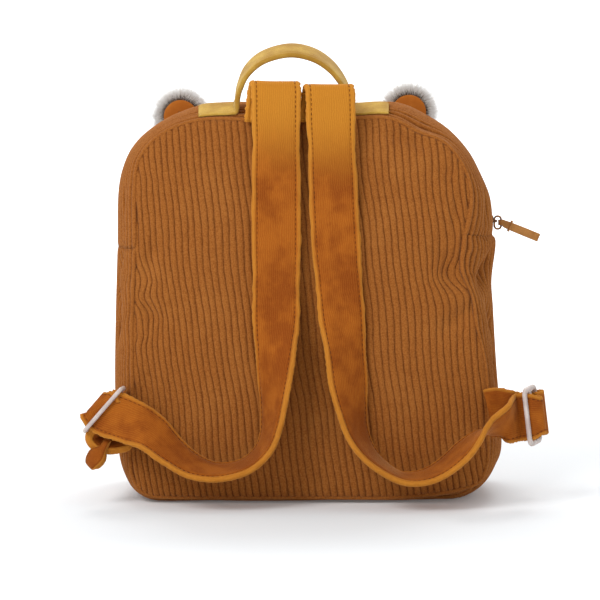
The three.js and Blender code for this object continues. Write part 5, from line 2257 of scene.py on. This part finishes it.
@dataclass
class Studio:
    """The white floor, the lights and the camera.

    Each light has its place, its side and its share of the key's power.
    """

    target: Triple = (-0.0061, 0.0, 0.1385)
    elevation: float = 6.0
    distance: float = 2.2
    lens: float = 183.3
    sky: float = 0.7
    key: float = 38.0
    floor_end: float = 1.6
    floor_curve: float = 1.2

    LIGHTS = {
        "key": ((-1.3, -1.8, 1.9), 1.0, 1.0),
        "back_left": ((-0.35, 1.25, 2.1), 0.8, 0.32),
        "back_right": ((0.6, 1.2, 2.1), 0.8, 0.36),
    }

    def area_light(self, name: str, place: Sequence[float], size: float, power: float) -> None:
        """Adds a square light that points at the bag.

        Args:
            name: The light's name.
            place: Where it is.
            size: Its side.
            power: Its power in watts.
        """
        data = bpy.data.lights.new(name, "AREA")
        data.energy = power
        data.size = size
        light = place_object(name, data)
        light.location = place
        light.rotation_euler = light_turn(np.array(self.target) - np.array(place))

    def floor(self) -> None:
        """Adds the paper that runs flat under the bag and curves up behind it."""
        end, curve = self.floor_end, self.floor_curve
        side = [(-6.0, 0.0), (end, 0.0)]
        turns = np.linspace(0, np.pi / 2, 13)[1:]
        side += [(end + curve * math.sin(turn), curve - curve * math.cos(turn)) for turn in turns]
        side.append((end + curve, 4.5))
        rows = [[(x, y, z) for x in (-5.0, 5.0)] for y, z in side]
        faces = grid_faces(len(side), 2)[:, ::-1]
        paper = make_object("studio_sweep", np.array(rows).reshape(-1, 3), faces)
        paper.data.materials.append(StudioPaper().material())

    def room(self) -> None:
        """Adds the even white light from all around."""
        world = bpy.data.worlds.new("white_room")
        world.use_nodes = True
        sky = world.node_tree.nodes["Background"]
        sky.inputs["Color"].default_value = (1, 1, 1, 1)
        sky.inputs["Strength"].default_value = self.sky
        bpy.context.scene.world = world

    def camera(self) -> None:
        """Adds the camera."""
        data = bpy.data.cameras.new("camera")
        data.lens = self.lens
        data.sensor_width = 36.0
        camera = place_object("camera", data)
        angle = math.radians(self.elevation)
        away = np.array([0.0, -math.cos(angle), math.sin(angle)]) * self.distance
        camera.location = tuple(np.array(self.target) + away)
        camera.rotation_euler = (math.pi / 2 - angle, 0.0, 0.0)
        bpy.context.scene.camera = camera
        bpy.context.scene.view_settings.view_transform = "Standard"

    def build(self) -> None:
        """Builds the studio."""
        self.floor()
        self.room()
        for name, (place, size, share) in self.LIGHTS.items():
            self.area_light(name, place, size, self.key * share)
        self.camera()


LEFT_ROUTE = (
    (-0.163, 0.93, 0.36, 0, 0, 1), (-0.163, 0.69, 0.33, 0, 0, 1), (-0.164, 0.49, 0.39, 0, 8, 1),
    (-0.165, 0.4, 0.55, -1, 34, 1), (-0.172, 0.314, 0.65, -4, 50, 1),
    (-0.184, 0.221, 0.71, -12, 65, 1), (-0.214, 0.163, 0.76, -28, 74, 1),
    (-0.284, 0.121, 0.78, -52, 80, 1), (-0.37, 0.101, 0.79, -74, 82, 1),
    (-0.48, 0.096, 0.79, -94, 79, 1), (-0.591, 0.113, 0.78, -114, 68, 1),
    (-0.696, 0.15, 0.76, -125, 58, 1), (-0.797, 0.194, 0.7, -129, 42, 1),
    (-0.905, 0.22, 0.6, -128, 14, 0.99),
)
RIGHT_ROUTE = (
    (0.113, 0.93, 0.36, 0, 0, 1), (0.133, 0.69, 0.33, 0, 0, 1), (0.164, 0.494, 0.42, 0, -12, 1),
    (0.184, 0.39, 0.56, 3, -34, 1), (0.199, 0.314, 0.61, 6, -40, 1),
    (0.216, 0.25, 0.66, 12, -52, 1), (0.241, 0.194, 0.7, 24, -64, 1),
    (0.292, 0.146, 0.75, 40, -75, 1), (0.37, 0.108, 0.78, 56, -83, 1),
    (0.46, 0.082, 0.79, 80, -88, 1), (0.541, 0.079, 0.79, 96, -86, 1),
    (0.621, 0.09, 0.79, 112, -82, 1), (0.701, 0.115, 0.79, 126, -78, 1),
    (0.786, 0.153, 0.79, 134, -77, 1), (0.861, 0.188, 0.79, 130, -90, 1),
    (0.917, 0.205, 0.78, 118, -116, 1), (0.993, 0.218, 0.72, 104, -142, 0.97),
)


def main() -> None:
    """Builds the bag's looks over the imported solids."""
    logging.basicConfig(level=logging.INFO, format="%(name)s: %(message)s")
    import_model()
    Studio().build()
    looks = Looks()
    shape = BodyShape()
    Body(shape, looks.corduroy).build()
    left = slider_frame(shape, Side.LEFT, (-1.04, 0.246, 0.019), 49, -6)
    right = slider_frame(shape, Side.RIGHT, (1.1, 0.228, 0.02), 97, 25)
    straps = (
        Strap(
            Side.LEFT, -0.2, LEFT_ROUTE, left, (0.176, -0.001, 0.0027), (3, 8),
            adjuster=(0.022, 0.002), bend_width=0.62, bend_reach=0.86, lead=1,
        ),
        Strap(
            Side.RIGHT, 0.075, RIGHT_ROUTE, right, (0.247, 0.0015, 0.0017), (25, 34),
            rise=0.0244, shifts=(0.0, 0.15, 0.4, 0.6, 0.85), root_width=0.78,
        ),
    )
    for strap in straps:
        strap.build(shape, looks)
    StrapTail().build(shape, looks)
    CarryHandle().build(shape, looks)
    ZipClosure().build(shape, looks)
    for ear in (Ear(Side.LEFT, 16), Ear(Side.RIGHT, -16)):
        ear.build(looks)
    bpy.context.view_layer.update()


if __name__ == "__main__":
    main()
